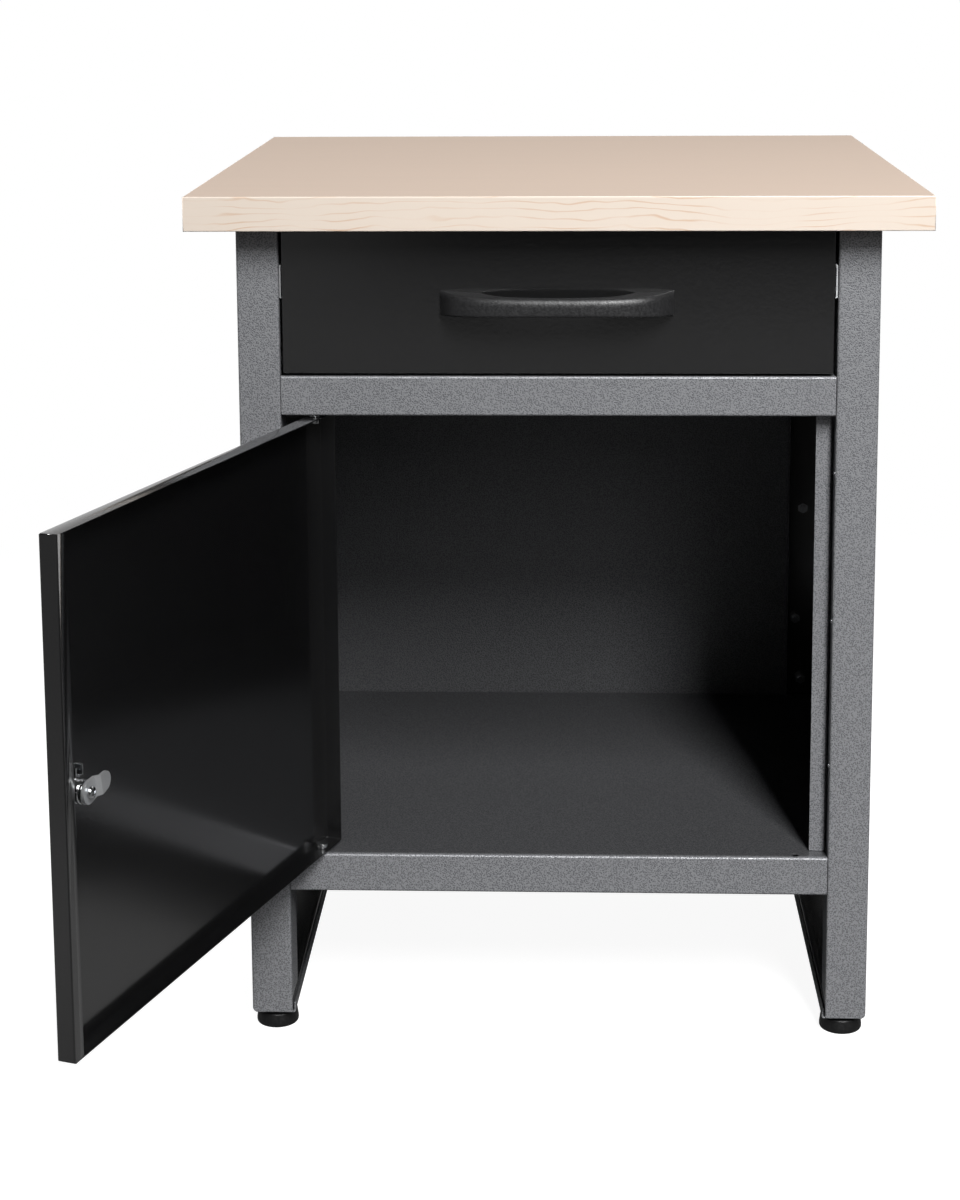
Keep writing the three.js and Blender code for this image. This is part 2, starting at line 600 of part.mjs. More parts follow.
// Stop strip: an angle that the door's free edge closes against, on three spaced screws
function buildStopStrip() {
  const walk = [
    [stopOuter - STOP_WIDTH, stopFrontY],
    [stopOuter, stopFrontY],
    [stopOuter, stopFrontY + STOP_DEPTH],
  ];
  const strip = alongZ(foldedSheet(walk), [SHELF_TOP + SEAT, midRailBottom - SEAT]);
  addPiece(bench, 'door_stop_strip', cut(strip, ...stopScrewZs.map(stopScrewHole)), 'hammertone');
  const headEnd = stopOuter - SHEET - SEAT;
  const profile = [
    [0, headEnd - STOP_SCREW_HEAD],
    [STOP_SCREW_HEAD_RADIUS, headEnd - STOP_SCREW_HEAD],
    [STOP_SCREW_HEAD_RADIUS, headEnd],
    [STOP_SCREW_RADIUS, headEnd],
    [STOP_SCREW_RADIUS, stopOuter + SEAT],
    [STOP_SCREW_HEAD_RADIUS, stopOuter + SEAT],
    [STOP_SCREW_HEAD_RADIUS, halfOpening - SEAT],
    [STOP_SCREW_RADIUS, halfOpening - SEAT],
    [STOP_SCREW_RADIUS, halfOpening + SHEET + STOP_SCREW_TAIL],
    [0, halfOpening + SHEET + STOP_SCREW_TAIL],
  ];
  stopScrewZs.forEach((z, i) => {
    addPiece(bench, `stop_screw_${i + 1}`, lyingX(profile, 0, stopScrewY, z, SMALL_SIDES), 'zinc');
  });
}

// Slides: an outer rail on the frame, a ball cage, and an inner rail on the drawer.
// Each is a channel, given here by its distance from the frame, with its height about the slide's middle.
function buildSlides() {
  const cageHeight = SLIDE_OUTER_HEIGHT - 2 * (SLIDE_SHEET + BALL_TRACK);
  const innerHeight = cageHeight - 2 * (CAGE_SHEET + BALL_TRACK);
  const innerBack = slideFace - SLIDE_THICKNESS;
  const cageFace = slideFace - SLIDE_SHEET - BALL_TRACK;
  const slideY = [slideFrontY, backPanelFront - SLIDE_REAR_GAP];
  const cageMiddleY = (slideY[0] + slideY[1]) / 2;
  const cageY = [cageMiddleY - CAGE_LENGTH / 2, cageMiddleY + CAGE_LENGTH / 2];
  const channel = (sign, [web, tip], height, y, sheet, bend) => {
    const low = slideZ - height / 2;
    const high = slideZ + height / 2;
    const open = [
      [tip, low],
      [web, low],
      [web, high],
      [tip, high],
    ];
    const walk = tip < web ? open : open.toReversed();
    return alongY(foldedSheet(sidedWalk(sign, walk), sheet, bend), y);
  };
  const outerX = [slideFace, slideFace - SLIDE_OUTER_DEPTH];
  const cageX = [cageFace, cageFace - CAGE_DEPTH];
  const innerX = [innerBack, innerBack + SLIDE_INNER_DEPTH];
  for (const [side, sign] of SIDES) {
    const outer = channel(sign, outerX, SLIDE_OUTER_HEIGHT, slideY, SLIDE_SHEET, SLIDE_BEND);
    addPiece(bench, `slide_outer_${side}`, outer, 'zinc');
    const cage = channel(sign, cageX, cageHeight, cageY, CAGE_SHEET);
    addPiece(bench, `slide_cage_${side}`, cage, 'zinc');
    const inner = channel(sign, innerX, innerHeight, slideY, SLIDE_SHEET);
    addPiece(bench, `slide_inner_${side}`, inner, 'zinc');
  }
}

// An open tray with its floor towards the front: a skin folded back on all four sides.
function tray([x0, x1], [y0, y1], [z0, z1], sheet) {
  const hollow = block([x0 + sheet, x1 - sheet], [y0 + sheet, y1 + 1], [z0 + sheet, z1 - sheet]);
  return cut(block([x0, x1], [y0, y1], [z0, z1]), hollow);
}

// Drawer: a folded front, two side walls, a floor and a back wall
function buildDrawer() {
  const skinBack = frontY + DRAWER_SHEET;
  const boxY = [skinBack + SEAT, backPanelFront - DRAWER_REAR_GAP];
  const inner = drawerSideFace - DRAWER_SHEET - SEAT;
  const screwX = HANDLE_LENGTH / 2 - HANDLE_SCREW_FROM_END;
  const screwPath = rod(HANDLE_SCREW_RADIUS + SCREW_PLAY, frontY - HANDLE_SCREW_BITE - SEAT, skinBack + 1);
  const screwHoles = [-screwX, screwX].map((x) => lyingY(screwPath, x, 0, handleZ, SMALL_SIDES));
  const front = tray([-drawerHalf, drawerHalf], [frontY, frontY + DRAWER_FRONT_DEPTH],
    [drawerFrontBottom, drawerFrontTop], DRAWER_SHEET);
  addPiece(bench, 'drawer_front', cut(front, ...screwHoles), 'blackPowder');
  for (const [side, sign] of SIDES) {
    const wall = sideBlock(sign, [drawerSideFace - DRAWER_SHEET, drawerSideFace], boxY,
      [drawerFloor, drawerFloor + DRAWER_WALL]);
    addPiece(bench, `drawer_side_${side}`, wall, 'blackPowder');
  }
  const floor = block([-inner, inner], boxY, [drawerFloor, drawerFloor + DRAWER_SHEET]);
  addPiece(bench, 'drawer_floor', floor, 'blackPowder');
  const backBottom = drawerFloor + DRAWER_SHEET + SEAT;
  const backZ = [backBottom, backBottom + DRAWER_BACK_WALL];
  const back = block([-inner, inner], [boxY[1] - DRAWER_SHEET, boxY[1]], backZ);
  addPiece(bench, 'drawer_back', back, 'blackPowder');

  addPiece(bench, 'drawer_handle', cut(handleBow(), ...screwHoles), 'blackPlastic');
  const headFront = skinBack + SEAT;
  const screw = [
    [0, frontY - HANDLE_SCREW_BITE],
    [HANDLE_SCREW_RADIUS, frontY - HANDLE_SCREW_BITE],
    [HANDLE_SCREW_RADIUS, headFront],
    [HANDLE_SCREW_HEAD_RADIUS, headFront],
    [HANDLE_SCREW_HEAD_RADIUS, headFront + HANDLE_SCREW_HEAD],
    [0, headFront + HANDLE_SCREW_HEAD],
  ];
  for (const [side, sign] of SIDES) {
    const body = lyingY(screw, sign * screwX, 0, handleZ, SMALL_SIDES);
    addPiece(bench, `handle_screw_${side}`, body, 'zinc');
  }
}

// Bow handle: its outline from above, trimmed to its outline from the front
function handleBow() {
  const half = HANDLE_LENGTH / 2;
  const faceY = frontY - SEAT;
  const tipY = faceY - HANDLE_PROJECTION;
  const innerTipY = tipY + HANDLE_BAR;
  const innerX = half - HANDLE_FOOT;
  const shoulderX = half * BOW_SHOULDER;
  const haunchX = half * BOW_HAUNCH;
  const haunchY = faceY - HANDLE_PROJECTION * BOW_HAUNCH_REACH;
  const gripShoulderX = innerX * GRIP_SHOULDER;
  const gripHaunchX = innerX * GRIP_HAUNCH;
  const gripHaunchY = faceY - (HANDLE_PROJECTION - HANDLE_BAR) * GRIP_HAUNCH;
  const fromAbove = new THREE.Shape()
    .moveTo(-half, faceY)
    .lineTo(-half, faceY - HANDLE_END)
    .bezierCurveTo(-haunchX, haunchY, -shoulderX, tipY, 0, tipY)
    .bezierCurveTo(shoulderX, tipY, haunchX, haunchY, half, faceY - HANDLE_END)
    .lineTo(half, faceY)
    .lineTo(innerX, faceY)
    .bezierCurveTo(gripHaunchX, gripHaunchY, gripShoulderX, innerTipY, 0, innerTipY)
    .bezierCurveTo(-gripShoulderX, innerTipY, -gripHaunchX, gripHaunchY, -innerX, faceY)
    .closePath();
  const end = HANDLE_END_HEIGHT / 2;
  const bar = HANDLE_BAR_HEIGHT / 2;
  const flareX = half * HANDLE_FLARE;
  const fromFront = new THREE.Shape()
    .moveTo(-half - 1, handleZ + end)
    .bezierCurveTo(-flareX, handleZ + end, -flareX, handleZ + bar, 0, handleZ + bar)
    .bezierCurveTo(flareX, handleZ + bar, flareX, handleZ + end, half + 1, handleZ + end)
    .lineTo(half + 1, handleZ - end)
    .bezierCurveTo(flareX, handleZ - end, flareX, handleZ - bar, 0, handleZ - bar)
    .bezierCurveTo(-flareX, handleZ - bar, -flareX, handleZ - end, -half - 1, handleZ - end)
    .closePath();
  const plan = alongZ(fromAbove, [handleZ - end - 1, handleZ + end + 1], HANDLE_STEPS);
  return plan.intersect(alongY(fromFront, [tipY - 1, frontY + 1], HANDLE_STEPS));
}

// Door, in a group that turns about its pins: x runs from the pivot to the free edge of the shut door,
// and y is 0 on the pivot
const doorHinge = new THREE.Group();
doorHinge.position.set(pivotX, pivotY, 0);
doorHinge.rotation.z = -DOOR_OPEN_ANGLE;
bench.add(doorHinge);

const doorX = [-PIVOT_INSET + DOOR_GAP, 2 * halfOpening - PIVOT_INSET - DOOR_GAP];
const doorY = [-PIVOT_DEPTH, DOOR_THICKNESS - PIVOT_DEPTH];
const doorZ = [SHELF_TOP + DOOR_GAP, midRailBottom - DOOR_GAP];
const lockX = doorX[1] - LOCK_INSET;
const lockZ = (doorZ[0] + doorZ[1]) / 2;
const camTipFront = stopFrontY + SHEET + CAM_CLEARANCE - pivotY;
const camFront = camTipFront - CAM_CRANK;

function buildDoor() {
  const [x0, x1] = doorX;
  const [y0, y1] = doorY;
  const [z0, z1] = doorZ;
  const lipFront = y1 - DOOR_SHEET;
  // The hollow is open to the back, up to the lip along the free edge
  const hollow = new THREE.Shape()
    .moveTo(x0 + DOOR_SHEET, y0 + DOOR_SHEET)
    .lineTo(x1 - DOOR_SHEET, y0 + DOOR_SHEET)
    .lineTo(x1 - DOOR_SHEET, lipFront)
    .lineTo(x1 - DOOR_SIDE_LIP, lipFront)
    .lineTo(x1 - DOOR_SIDE_LIP, y1 + 1)
    .lineTo(x0 + DOOR_SHEET, y1 + 1)
    .closePath();
  const inside = alongZ(hollow, [z0 + DOOR_SHEET, z1 - DOOR_SHEET]);
  const shell = cut(block(doorX, doorY, doorZ), inside);
  const pinHole = upright(rod(PIN_RADIUS + SCREW_PLAY, z0 - 1, z1 + 1), 0, 0, 0, SMALL_SIDES);
  const lockHole = lyingY(rod(LOCK_BARREL_RADIUS + LOCK_PLAY, y0 - 1, y0 + DOOR_SHEET + 1), lockX, 0, lockZ);
  addPiece(doorHinge, 'door_panel', cut(shell, pinHole, lockHole), 'blackPowder');

  // Pins: a head inside the door, a collar in the gap, and a tip in the rail or the shelf
  const pin = (edge, carrier, out) => {
    const steps = [
      [PIN_HEAD_RADIUS, edge - out * (DOOR_SHEET + SEAT + PIN_HEAD_HEIGHT)],
      [PIN_HEAD_RADIUS, edge - out * (DOOR_SHEET + SEAT)],
      [PIN_RADIUS, edge - out * (DOOR_SHEET + SEAT)],
      [PIN_RADIUS, edge + out * SEAT],
      [PIN_HEAD_RADIUS, edge + out * SEAT],
      [PIN_HEAD_RADIUS, carrier - out * SEAT],
      [PIN_RADIUS, carrier - out * SEAT],
      [PIN_RADIUS, carrier + out * (SHEET + PIN_REACH)],
    ];
    const profile = out > 0 ? steps : steps.toReversed();
    return upright([[0, profile[0][1]], ...profile, [0, profile.at(-1)[1]]], 0, 0, 0, SMALL_SIDES);
  };
  addPiece(doorHinge, 'pivot_pin_upper', pin(z1, midRailBottom, 1), 'zinc');
  addPiece(doorHinge, 'pivot_pin_lower', pin(z0, SHELF_TOP, -1), 'zinc');
}

// Cam lock: a barrel through the skin, a spring clip that holds it, and a plug that turns the cam
function buildLock() {
  const skinFront = doorY[0];
  const headFront = skinFront - SEAT - LOCK_HEAD_PROUD;
  const barrelBack = camFront - SEAT;
  const bore = LOCK_PLUG_RADIUS + LOCK_PLAY;
  const barrel = [
    [bore, headFront],
    [LOCK_HEAD_RADIUS - 1, headFront],
    [LOCK_HEAD_RADIUS, headFront + 1],
    [LOCK_HEAD_RADIUS, skinFront - SEAT],
    [LOCK_BARREL_RADIUS, skinFront - SEAT],
    [LOCK_BARREL_RADIUS, barrelBack],
    [bore, barrelBack],
    [bore, headFront],
  ];
  addPiece(doorHinge, 'lock_body', lyingY(barrel, lockX, 0, lockZ), 'zinc');

  const clipFront = skinFront + DOOR_SHEET + SEAT;
  const slot = LOCK_BARREL_RADIUS + LOCK_PLAY;
  const horseshoe = new THREE.Shape()
    .moveTo(lockX - CLIP_HALF_WIDTH, lockZ - CLIP_LEGS)
    .lineTo(lockX - slot, lockZ - CLIP_LEGS)
    .lineTo(lockX - slot, lockZ)
    .absarc(lockX, lockZ, slot, Math.PI, 0, true)
    .lineTo(lockX + slot, lockZ - CLIP_LEGS)
    .lineTo(lockX + CLIP_HALF_WIDTH, lockZ - CLIP_LEGS)
    .lineTo(lockX + CLIP_HALF_WIDTH, lockZ + CLIP_TOP)
    .lineTo(lockX - CLIP_HALF_WIDTH, lockZ + CLIP_TOP)
    .closePath();
  const plate = alongY(horseshoe, [clipFront, clipFront + CLIP_SHEET], 2 * ARC_STEPS);
  const ears = [-1, 1].map((sign) => {
    const x = lockX + (sign * CLIP_EAR_SPACING) / 2;
    const z = [lockZ + LOCK_BARREL_RADIUS + LOCK_PLAY + 1, lockZ + CLIP_EAR_TOP];
    const y = [clipFront, clipFront + CLIP_SHEET + CLIP_EAR];
    return block([x - CLIP_SHEET / 2, x + CLIP_SHEET / 2], y, z);
  });
  addPiece(doorHinge, 'lock_clip', join(plate, ...ears), 'zinc');

  // The turning pieces, in a group on the lock's axis
  const turning = new THREE.Group();
  turning.position.set(lockX, 0, lockZ);
  turning.rotation.y = CAM_REST_ANGLE;
  doorHinge.add(turning);
  const plugFront = headFront + LOCK_PLAY;
  const camBack = camFront + CAM_SHEET;
  const plug = [
    [0, plugFront],
    [LOCK_PLUG_RADIUS, plugFront],
    [LOCK_PLUG_RADIUS, barrelBack],
    [LOCK_BOSS_RADIUS, barrelBack],
    [LOCK_BOSS_RADIUS, camBack - SEAT],
    [0, camBack - SEAT],
  ];
  const screwEnd = camBack + SEAT - CAM_SCREW_LENGTH;
  const thread = rod(CAM_SCREW_RADIUS + SCREW_PLAY, screwEnd - SEAT, camBack + 1);
  const screwHole = lyingY(thread, 0, 0, 0, SMALL_SIDES);
  const keySlot = block(
    [-KEY_SLOT_WIDTH / 2, KEY_SLOT_WIDTH / 2],
    [plugFront - 1, plugFront + KEY_SLOT_DEPTH],
    [-KEY_SLOT_HEIGHT / 2, KEY_SLOT_HEIGHT / 2],
  );
  addPiece(turning, 'lock_plug', cut(lyingY(plug, 0, 0, 0), screwHole, keySlot), 'zinc');

  // The cam points towards the pivot: a round hub that narrows to a round tip, cranked in between
  const tipX = -CAM_REACH + CAM_TIP_RADIUS;
  const lean = Math.asin((CAM_HALF_WIDTH - CAM_TIP_RADIUS) / -tipX);
  const camOutline = new THREE.Shape()
    .absarc(0, 0, CAM_HALF_WIDTH, -Math.PI / 2 - lean, Math.PI / 2 + lean, false)
    .absarc(tipX, 0, CAM_TIP_RADIUS, Math.PI / 2 + lean, 1.5 * Math.PI - lean, false)
    .closePath();
  const camHole = lyingY(rod(LOCK_BOSS_RADIUS + LOCK_PLAY, camFront - 1, camBack + 1), 0, 0, 0);
  const tipBack = camTipFront + CAM_SHEET;
  const crankEnd = CAM_CRANK_START + CAM_CRANK_RUN;
  const crankStrip = new THREE.Shape()
    .moveTo(CAM_REACH, camFront)
    .lineTo(CAM_REACH, camBack)
    .lineTo(-CAM_CRANK_START, camBack)
    .lineTo(-crankEnd, tipBack)
    .lineTo(-2 * CAM_REACH, tipBack)
    .lineTo(-2 * CAM_REACH, camTipFront)
    .lineTo(-crankEnd, camTipFront)
    .lineTo(-CAM_CRANK_START, camFront)
    .closePath();
  const strip = alongZ(crankStrip, [-2 * CAM_HALF_WIDTH, 2 * CAM_HALF_WIDTH]);
  const cam = strip.intersect(alongY(camOutline, [camFront - 1, tipBack + 1], 3 * ARC_STEPS));
  addPiece(turning, 'lock_cam', cut(cam, camHole), 'zinc');

  const screw = [
    [0, screwEnd],
    [CAM_SCREW_RADIUS, screwEnd],
    [CAM_SCREW_RADIUS, camBack + SEAT],
    [CAM_SCREW_HEAD_RADIUS, camBack + SEAT],
    [CAM_SCREW_HEAD_RADIUS, camBack + SEAT + CAM_SCREW_HEAD - 1],
    [CAM_SCREW_HEAD_RADIUS - 1, camBack + SEAT + CAM_SCREW_HEAD],
    [0, camBack + SEAT + CAM_SCREW_HEAD],
  ];
  addPiece(turning, 'cam_screw', lyingY(screw, 0, 0, 0, SMALL_SIDES), 'zinc');
}

buildWorktop();
buildLegs();
buildFootRailsAndFeet();
buildTopRails();
buildSidePanels();
buildBackPanel();
buildMidRail();
buildShelf();
buildStopStrip();
buildSlides();
buildDrawer();
buildDoor();
buildLock();

// The origin is on the floor, in the middle of the space that the bench takes with its door open
const space = new THREE.Box3().setFromObject(bench, true);
const middle = space.getCenter(new THREE.Vector3());
bench.position.set(-middle.x, -middle.y, -space.min.z);

export default bench;
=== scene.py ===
"""Finishes, finer pieces, studio and camera for a steel workbench with a drawer and a cabinet door."""

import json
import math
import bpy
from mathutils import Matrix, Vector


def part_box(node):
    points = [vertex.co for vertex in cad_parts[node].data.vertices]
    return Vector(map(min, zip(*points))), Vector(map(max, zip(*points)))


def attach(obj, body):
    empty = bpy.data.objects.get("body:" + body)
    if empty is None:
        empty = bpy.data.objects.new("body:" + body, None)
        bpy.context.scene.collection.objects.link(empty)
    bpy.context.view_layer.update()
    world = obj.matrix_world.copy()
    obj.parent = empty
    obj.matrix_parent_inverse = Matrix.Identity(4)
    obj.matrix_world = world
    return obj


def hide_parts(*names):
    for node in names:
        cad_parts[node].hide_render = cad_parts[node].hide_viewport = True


bl_info = {
    "name": "Workbench Finishes",
    "version": (1, 0, 0),
    "blender": (4, 5, 0),
    "location": "3D View > Sidebar > Workbench",
    "description": "Builds the visible pieces and finishes of a steel workbench on its packed frame",
    "category": "Object",
}

import bmesh
import bpy
from bpy.props import FloatProperty, FloatVectorProperty, PointerProperty
from mathutils import Matrix, Vector

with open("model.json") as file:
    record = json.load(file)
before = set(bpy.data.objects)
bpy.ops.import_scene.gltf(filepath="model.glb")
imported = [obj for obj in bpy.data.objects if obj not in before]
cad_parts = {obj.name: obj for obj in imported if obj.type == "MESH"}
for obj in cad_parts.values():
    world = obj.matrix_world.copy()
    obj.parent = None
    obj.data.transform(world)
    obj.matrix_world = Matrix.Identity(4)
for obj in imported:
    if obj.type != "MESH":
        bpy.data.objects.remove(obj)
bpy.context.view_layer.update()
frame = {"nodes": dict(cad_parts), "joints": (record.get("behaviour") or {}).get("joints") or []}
MM = 0.001


def linear(hex_colour):
    """The linear colour of an sRGB colour written as #rrggbb."""
    channels = [int(hex_colour[i : i + 2], 16) / 255 for i in (1, 3, 5)]
    return tuple(c / 12.92 if c <= 0.04045 else ((c + 0.055) / 1.055) ** 2.4 for c in channels)


class WorkbenchColours(bpy.types.PropertyGroup):
    """Colours of the finishes."""

    enamel: FloatVectorProperty(
        name="Hammertone enamel",
        description="Grey of the enamel on the legs, rails, shelf lip and feet rails",
        subtype="COLOR",
        size=3,
        default=linear("#959699"),
    )
    enamel_dimple: FloatVectorProperty(
        name="Enamel dimples",
        description="Darker grey where the enamel has drawn back into dimples",
        subtype="COLOR",
        size=3,
        default=linear("#626367"),
    )
    powder: FloatVectorProperty(
        name="Black powder coat",
        description="Black of the door, the drawer and the side panels",
        subtype="COLOR",
        size=3,
        default=linear("#080809"),
    )
    laminate: FloatVectorProperty(
        name="Worktop laminate",
        description="Beige of the pressed laminate on the worktop",
        subtype="COLOR",
        size=3,
        default=linear("#c7b3a3"),
    )
    band: FloatVectorProperty(
        name="Edge band",
        description="Ground colour of the printed maple edge band",
        subtype="COLOR",
        size=3,
        default=linear("#e8dacc"),
    )
    band_grain: FloatVectorProperty(
        name="Edge band grain",
        description="Colour of the grain lines printed on the edge band",
        subtype="COLOR",
        size=3,
        default=linear("#d9b99e"),
    )
    zinc: FloatVectorProperty(
        name="Zinc plate",
        description="Colour of the plated lock, slides, pins and screws",
        subtype="COLOR",
        size=3,
        default=linear("#d5d7d9"),
    )
    plastic: FloatVectorProperty(
        name="Black plastic",
        description="Black of the moulded feet",
        subtype="COLOR",
        size=3,
        default=linear("#0c0c0d"),
    )
    grip: FloatVectorProperty(
        name="Handle plastic",
        description="Softer black of the moulded handle",
        subtype="COLOR",
        size=3,
        default=linear("#282829"),
    )


class WorkbenchSizes(bpy.types.PropertyGroup):
    """Radii and sheet thicknesses of the visible pieces."""

    sheet: FloatProperty(
        name="Sheet",
        description="Thickness of the sheet that the door and the drawer front are folded from",
        subtype="DISTANCE",
        unit="LENGTH",
        default=1.0 * MM,
        min=0.5 * MM,
        max=2.0 * MM,
    )
    fold: FloatProperty(
        name="Fold radius",
        description="Outside radius of the folds of the door and the drawer front",
        subtype="DISTANCE",
        unit="LENGTH",
        default=1.15 * MM,
        min=1.1 * MM,
        max=3.0 * MM,
    )
    edge: FloatProperty(
        name="Edge break",
        description="Width of the broken edges of cut sheet and turned metal",
        subtype="DISTANCE",
        unit="LENGTH",
        default=0.25 * MM,
        min=0.05 * MM,
        max=0.4 * MM,
    )
    band_round: FloatProperty(
        name="Band rounding",
        description="Radius on the outer edges of the worktop's edge band",
        subtype="DISTANCE",
        unit="LENGTH",
        default=0.9 * MM,
        min=0.2 * MM,
        max=0.95 * MM,
    )
    handle_round: FloatProperty(
        name="Handle rounding",
        description="Radius on the upper front edge of the bow handle",
        subtype="DISTANCE",
        unit="LENGTH",
        default=4.4 * MM,
        min=1.0 * MM,
        max=6.5 * MM,
    )


class WorkbenchSettings(bpy.types.PropertyGroup):
    """All settings of the workbench."""

    colours: PointerProperty(type=WorkbenchColours, name="Colours", description="Colours of the finishes")
    sizes: PointerProperty(type=WorkbenchSizes, name="Sizes", description="Sizes of the visible pieces")


def add_node(tree, kind, inputs=None, **settings):
    """Add a node to a tree, set its properties, and set or link the inputs given by name or number."""
    made = tree.nodes.new(kind)
    for name, value in settings.items():
        setattr(made, name, value)
    for key, value in (inputs or {}).items():
        if isinstance(value, bpy.types.NodeSocket):
            tree.links.new(value, made.inputs[key])
        else:
            made.inputs[key].default_value = value
    return made


def new_material(name):
    """A material with an empty tree, with the tree and the socket of the piece's own coordinates in metres."""
    material = bpy.data.materials.new(name)
    material.use_nodes = True
    tree = material.node_tree
    tree.nodes.clear()
    place = add_node(tree, "ShaderNodeTexCoord").outputs["Object"]
    return material, tree, place


def rgba(colour):
    """A colour property as the four numbers of a colour socket."""
    return (*colour, 1.0)


def hammertone(name, colours, thin):
    """Enamel over the row's depth: behind the front plane its tone is scaled down to thin of itself, as painted
    shade where little light reaches in.
    """
    material, tree, place = new_material(name)
    drift = add_node(tree, "ShaderNodeTexNoise", {"Vector": place, "Scale": 1 / 0.0022, "Detail": 2.0})
    moved = add_node(
        tree,
        "ShaderNodeVectorMath",
        {0: drift.outputs["Color"], 1: (0.0011, 0.0011, 0.0011), 2: place},
        operation="MULTIPLY_ADD",
    )
    cells = add_node(tree, "ShaderNodeTexVoronoi", {"Vector": moved.outputs[0], "Scale": 1 / 0.0013})
    dimple = add_node(
        tree,
        "ShaderNodeMapRange",
        {"Value": cells.outputs["Distance"], "From Min": 0.7, "From Max": 0.15},
        interpolation_type="SMOOTHSTEP",
    ).outputs[0]
    tone = add_node(
        tree,
        "ShaderNodeMix",
        {0: dimple, 6: rgba(colours.enamel), 7: rgba(colours.enamel_dimple)},
        data_type="RGBA",
    ).outputs[2]
    # Painted shade: behind the shelf's front bend the enamel's tone is darkened by the factor thin.
    if thin < 1:
        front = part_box("bottom_shelf")[0].y
        depth = add_node(tree, "ShaderNodeSeparateXYZ", {0: place}).outputs["Y"]
        painted_shade_share = add_node(
            tree,
            "ShaderNodeMapRange",
            {
                "Value": depth,
                "From Min": front + 2 * MM,
                "From Max": front + 6 * MM,
                "To Min": 1.0,
                "To Max": thin,
            },
        ).outputs[0]
        tone = add_node(tree, "ShaderNodeVectorMath", {0: tone, 3: painted_shade_share}, operation="SCALE").outputs[0]
    gloss = add_node(tree, "ShaderNodeMapRange", {"Value": dimple, "To Min": 0.42, "To Max": 0.55}).outputs[0]
    relief = add_node(
        tree, "ShaderNodeBump", {"Height": dimple, "Strength": 0.38, "Distance": 0.0003}, invert=True
    ).outputs[0]
    shader = add_node(
        tree,
        "ShaderNodeBsdfPrincipled",
        {
            "Base Color": tone,
            "Metallic": 0.3,
            "Roughness": gloss,
            "Normal": relief,
            "Coat Weight": 0.25,
            "Coat Roughness": 0.2,
            "Coat Normal": relief,
        },
    )
    add_node(tree, "ShaderNodeOutputMaterial", {"Surface": shader.outputs[0]})
    return material


def hammertone_enamel(colours):
    """Hammertone enamel, stoved on folded steel: dark dimples 1.3 mm apart break the light into a fine grey
    mottle, aluminium flake makes it paler face on, and the bends carry a thin line of sparkle."""
    return hammertone("hammertone_enamel_stoved_on_steel", colours, 1.0)


def hammertone_painted_shade_inside(colours):
    """The same enamel on the shelf and the foot rails, darker behind the front bend as painted
    shade, with the same mottle."""
    return hammertone("hammertone_enamel_with_painted_shade_inside", colours, 0.34)


def hammertone_painted_shade_rear(colours):
    """The same enamel on the back panel, darker than the front as painted shade, with the same
    mottle."""
    return hammertone("hammertone_enamel_with_painted_shade_on_back_panel", colours, 0.46)


def black_powder_coat(colours):
    """Satin black powder coat, baked on sheet steel: a shallow orange peel about 1.5 mm across softens every
    reflection, and slow changes of gloss over a hand's width keep broad panels from looking flat."""
    material, tree, place = new_material("satin_black_powder_coat_baked_on_sheet")
    peel = add_node(
        tree, "ShaderNodeTexNoise", {"Vector": place, "Scale": 1 / 0.003, "Detail": 3.0, "Roughness": 0.55}
    ).outputs["Fac"]
    clouds = add_node(
        tree, "ShaderNodeTexNoise", {"Vector": place, "Scale": 1 / 0.09, "Detail": 2.0}
    ).outputs["Fac"]
    mixed = add_node(
        tree, "ShaderNodeMath", {0: clouds, 1: 0.7, 2: peel}, operation="MULTIPLY_ADD"
    ).outputs[0]
    gloss = add_node(
        tree,
        "ShaderNodeMapRange",
        {"Value": mixed, "From Min": 0.5, "From Max": 1.2, "To Min": 0.42, "To Max": 0.5},
    ).outputs[0]
    relief = add_node(
        tree, "ShaderNodeBump", {"Height": peel, "Strength": 0.12, "Distance": 0.0003}
    ).outputs[0]
    tone = add_node(
        tree,
        "ShaderNodeMix",
        {
            0: peel,
            6: rgba([c * 0.75 for c in colours.powder]),
            7: rgba([c * 1.25 for c in colours.powder]),
        },
        data_type="RGBA",
    ).outputs[2]
    shader = add_node(
        tree,
        "ShaderNodeBsdfPrincipled",
        {
            "Base Color": tone,
            "Roughness": gloss,
            "Specular IOR Level": 0.25,
            "Normal": relief,
            "Coat Weight": 1.0,
            "Coat Roughness": 0.14,
            "Coat IOR": 1.9,
            "Coat Normal": relief,
        },
    )
    add_node(tree, "ShaderNodeOutputMaterial", {"Surface": shader.outputs[0]})
    return material


def pressed_laminate(colours):
    """Beige melamine laminate, pressed on chipboard: faint streaks along the board and a fine pressed texture,
    with a soft sheen."""
    material, tree, place = new_material("beige_melamine_laminate_pressed_on_board")
    stretched = add_node(
        tree, "ShaderNodeMapping", {"Vector": place, "Scale": (3.0, 120.0, 120.0)}
    ).outputs[0]
    streaks = add_node(
        tree, "ShaderNodeTexNoise", {"Vector": stretched, "Scale": 1.0, "Detail": 5.0, "Roughness": 0.6}
    ).outputs["Fac"]
    tone = add_node(
        tree,
        "ShaderNodeMix",
        {
            0: streaks,
            6: rgba([c * 0.95 for c in colours.laminate]),
            7: rgba([c * 1.05 for c in colours.laminate]),
        },
        data_type="RGBA",
    ).outputs[2]
    grain = add_node(
        tree, "ShaderNodeTexNoise", {"Vector": place, "Scale": 1 / 0.0012, "Detail": 2.0}
    ).outputs["Fac"]
    relief = add_node(
        tree, "ShaderNodeBump", {"Height": grain, "Strength": 0.08, "Distance": 0.0002}
    ).outputs[0]
    gloss = add_node(
        tree, "ShaderNodeMapRange", {"Value": streaks, "To Min": 0.62, "To Max": 0.76}
    ).outputs[0]
    shader = add_node(
        tree,
        "ShaderNodeBsdfPrincipled",
        {"Base Color": tone, "Roughness": gloss, "Normal": relief},
    )
    add_node(tree, "ShaderNodeOutputMaterial", {"Surface": shader.outputs[0]})
    return material


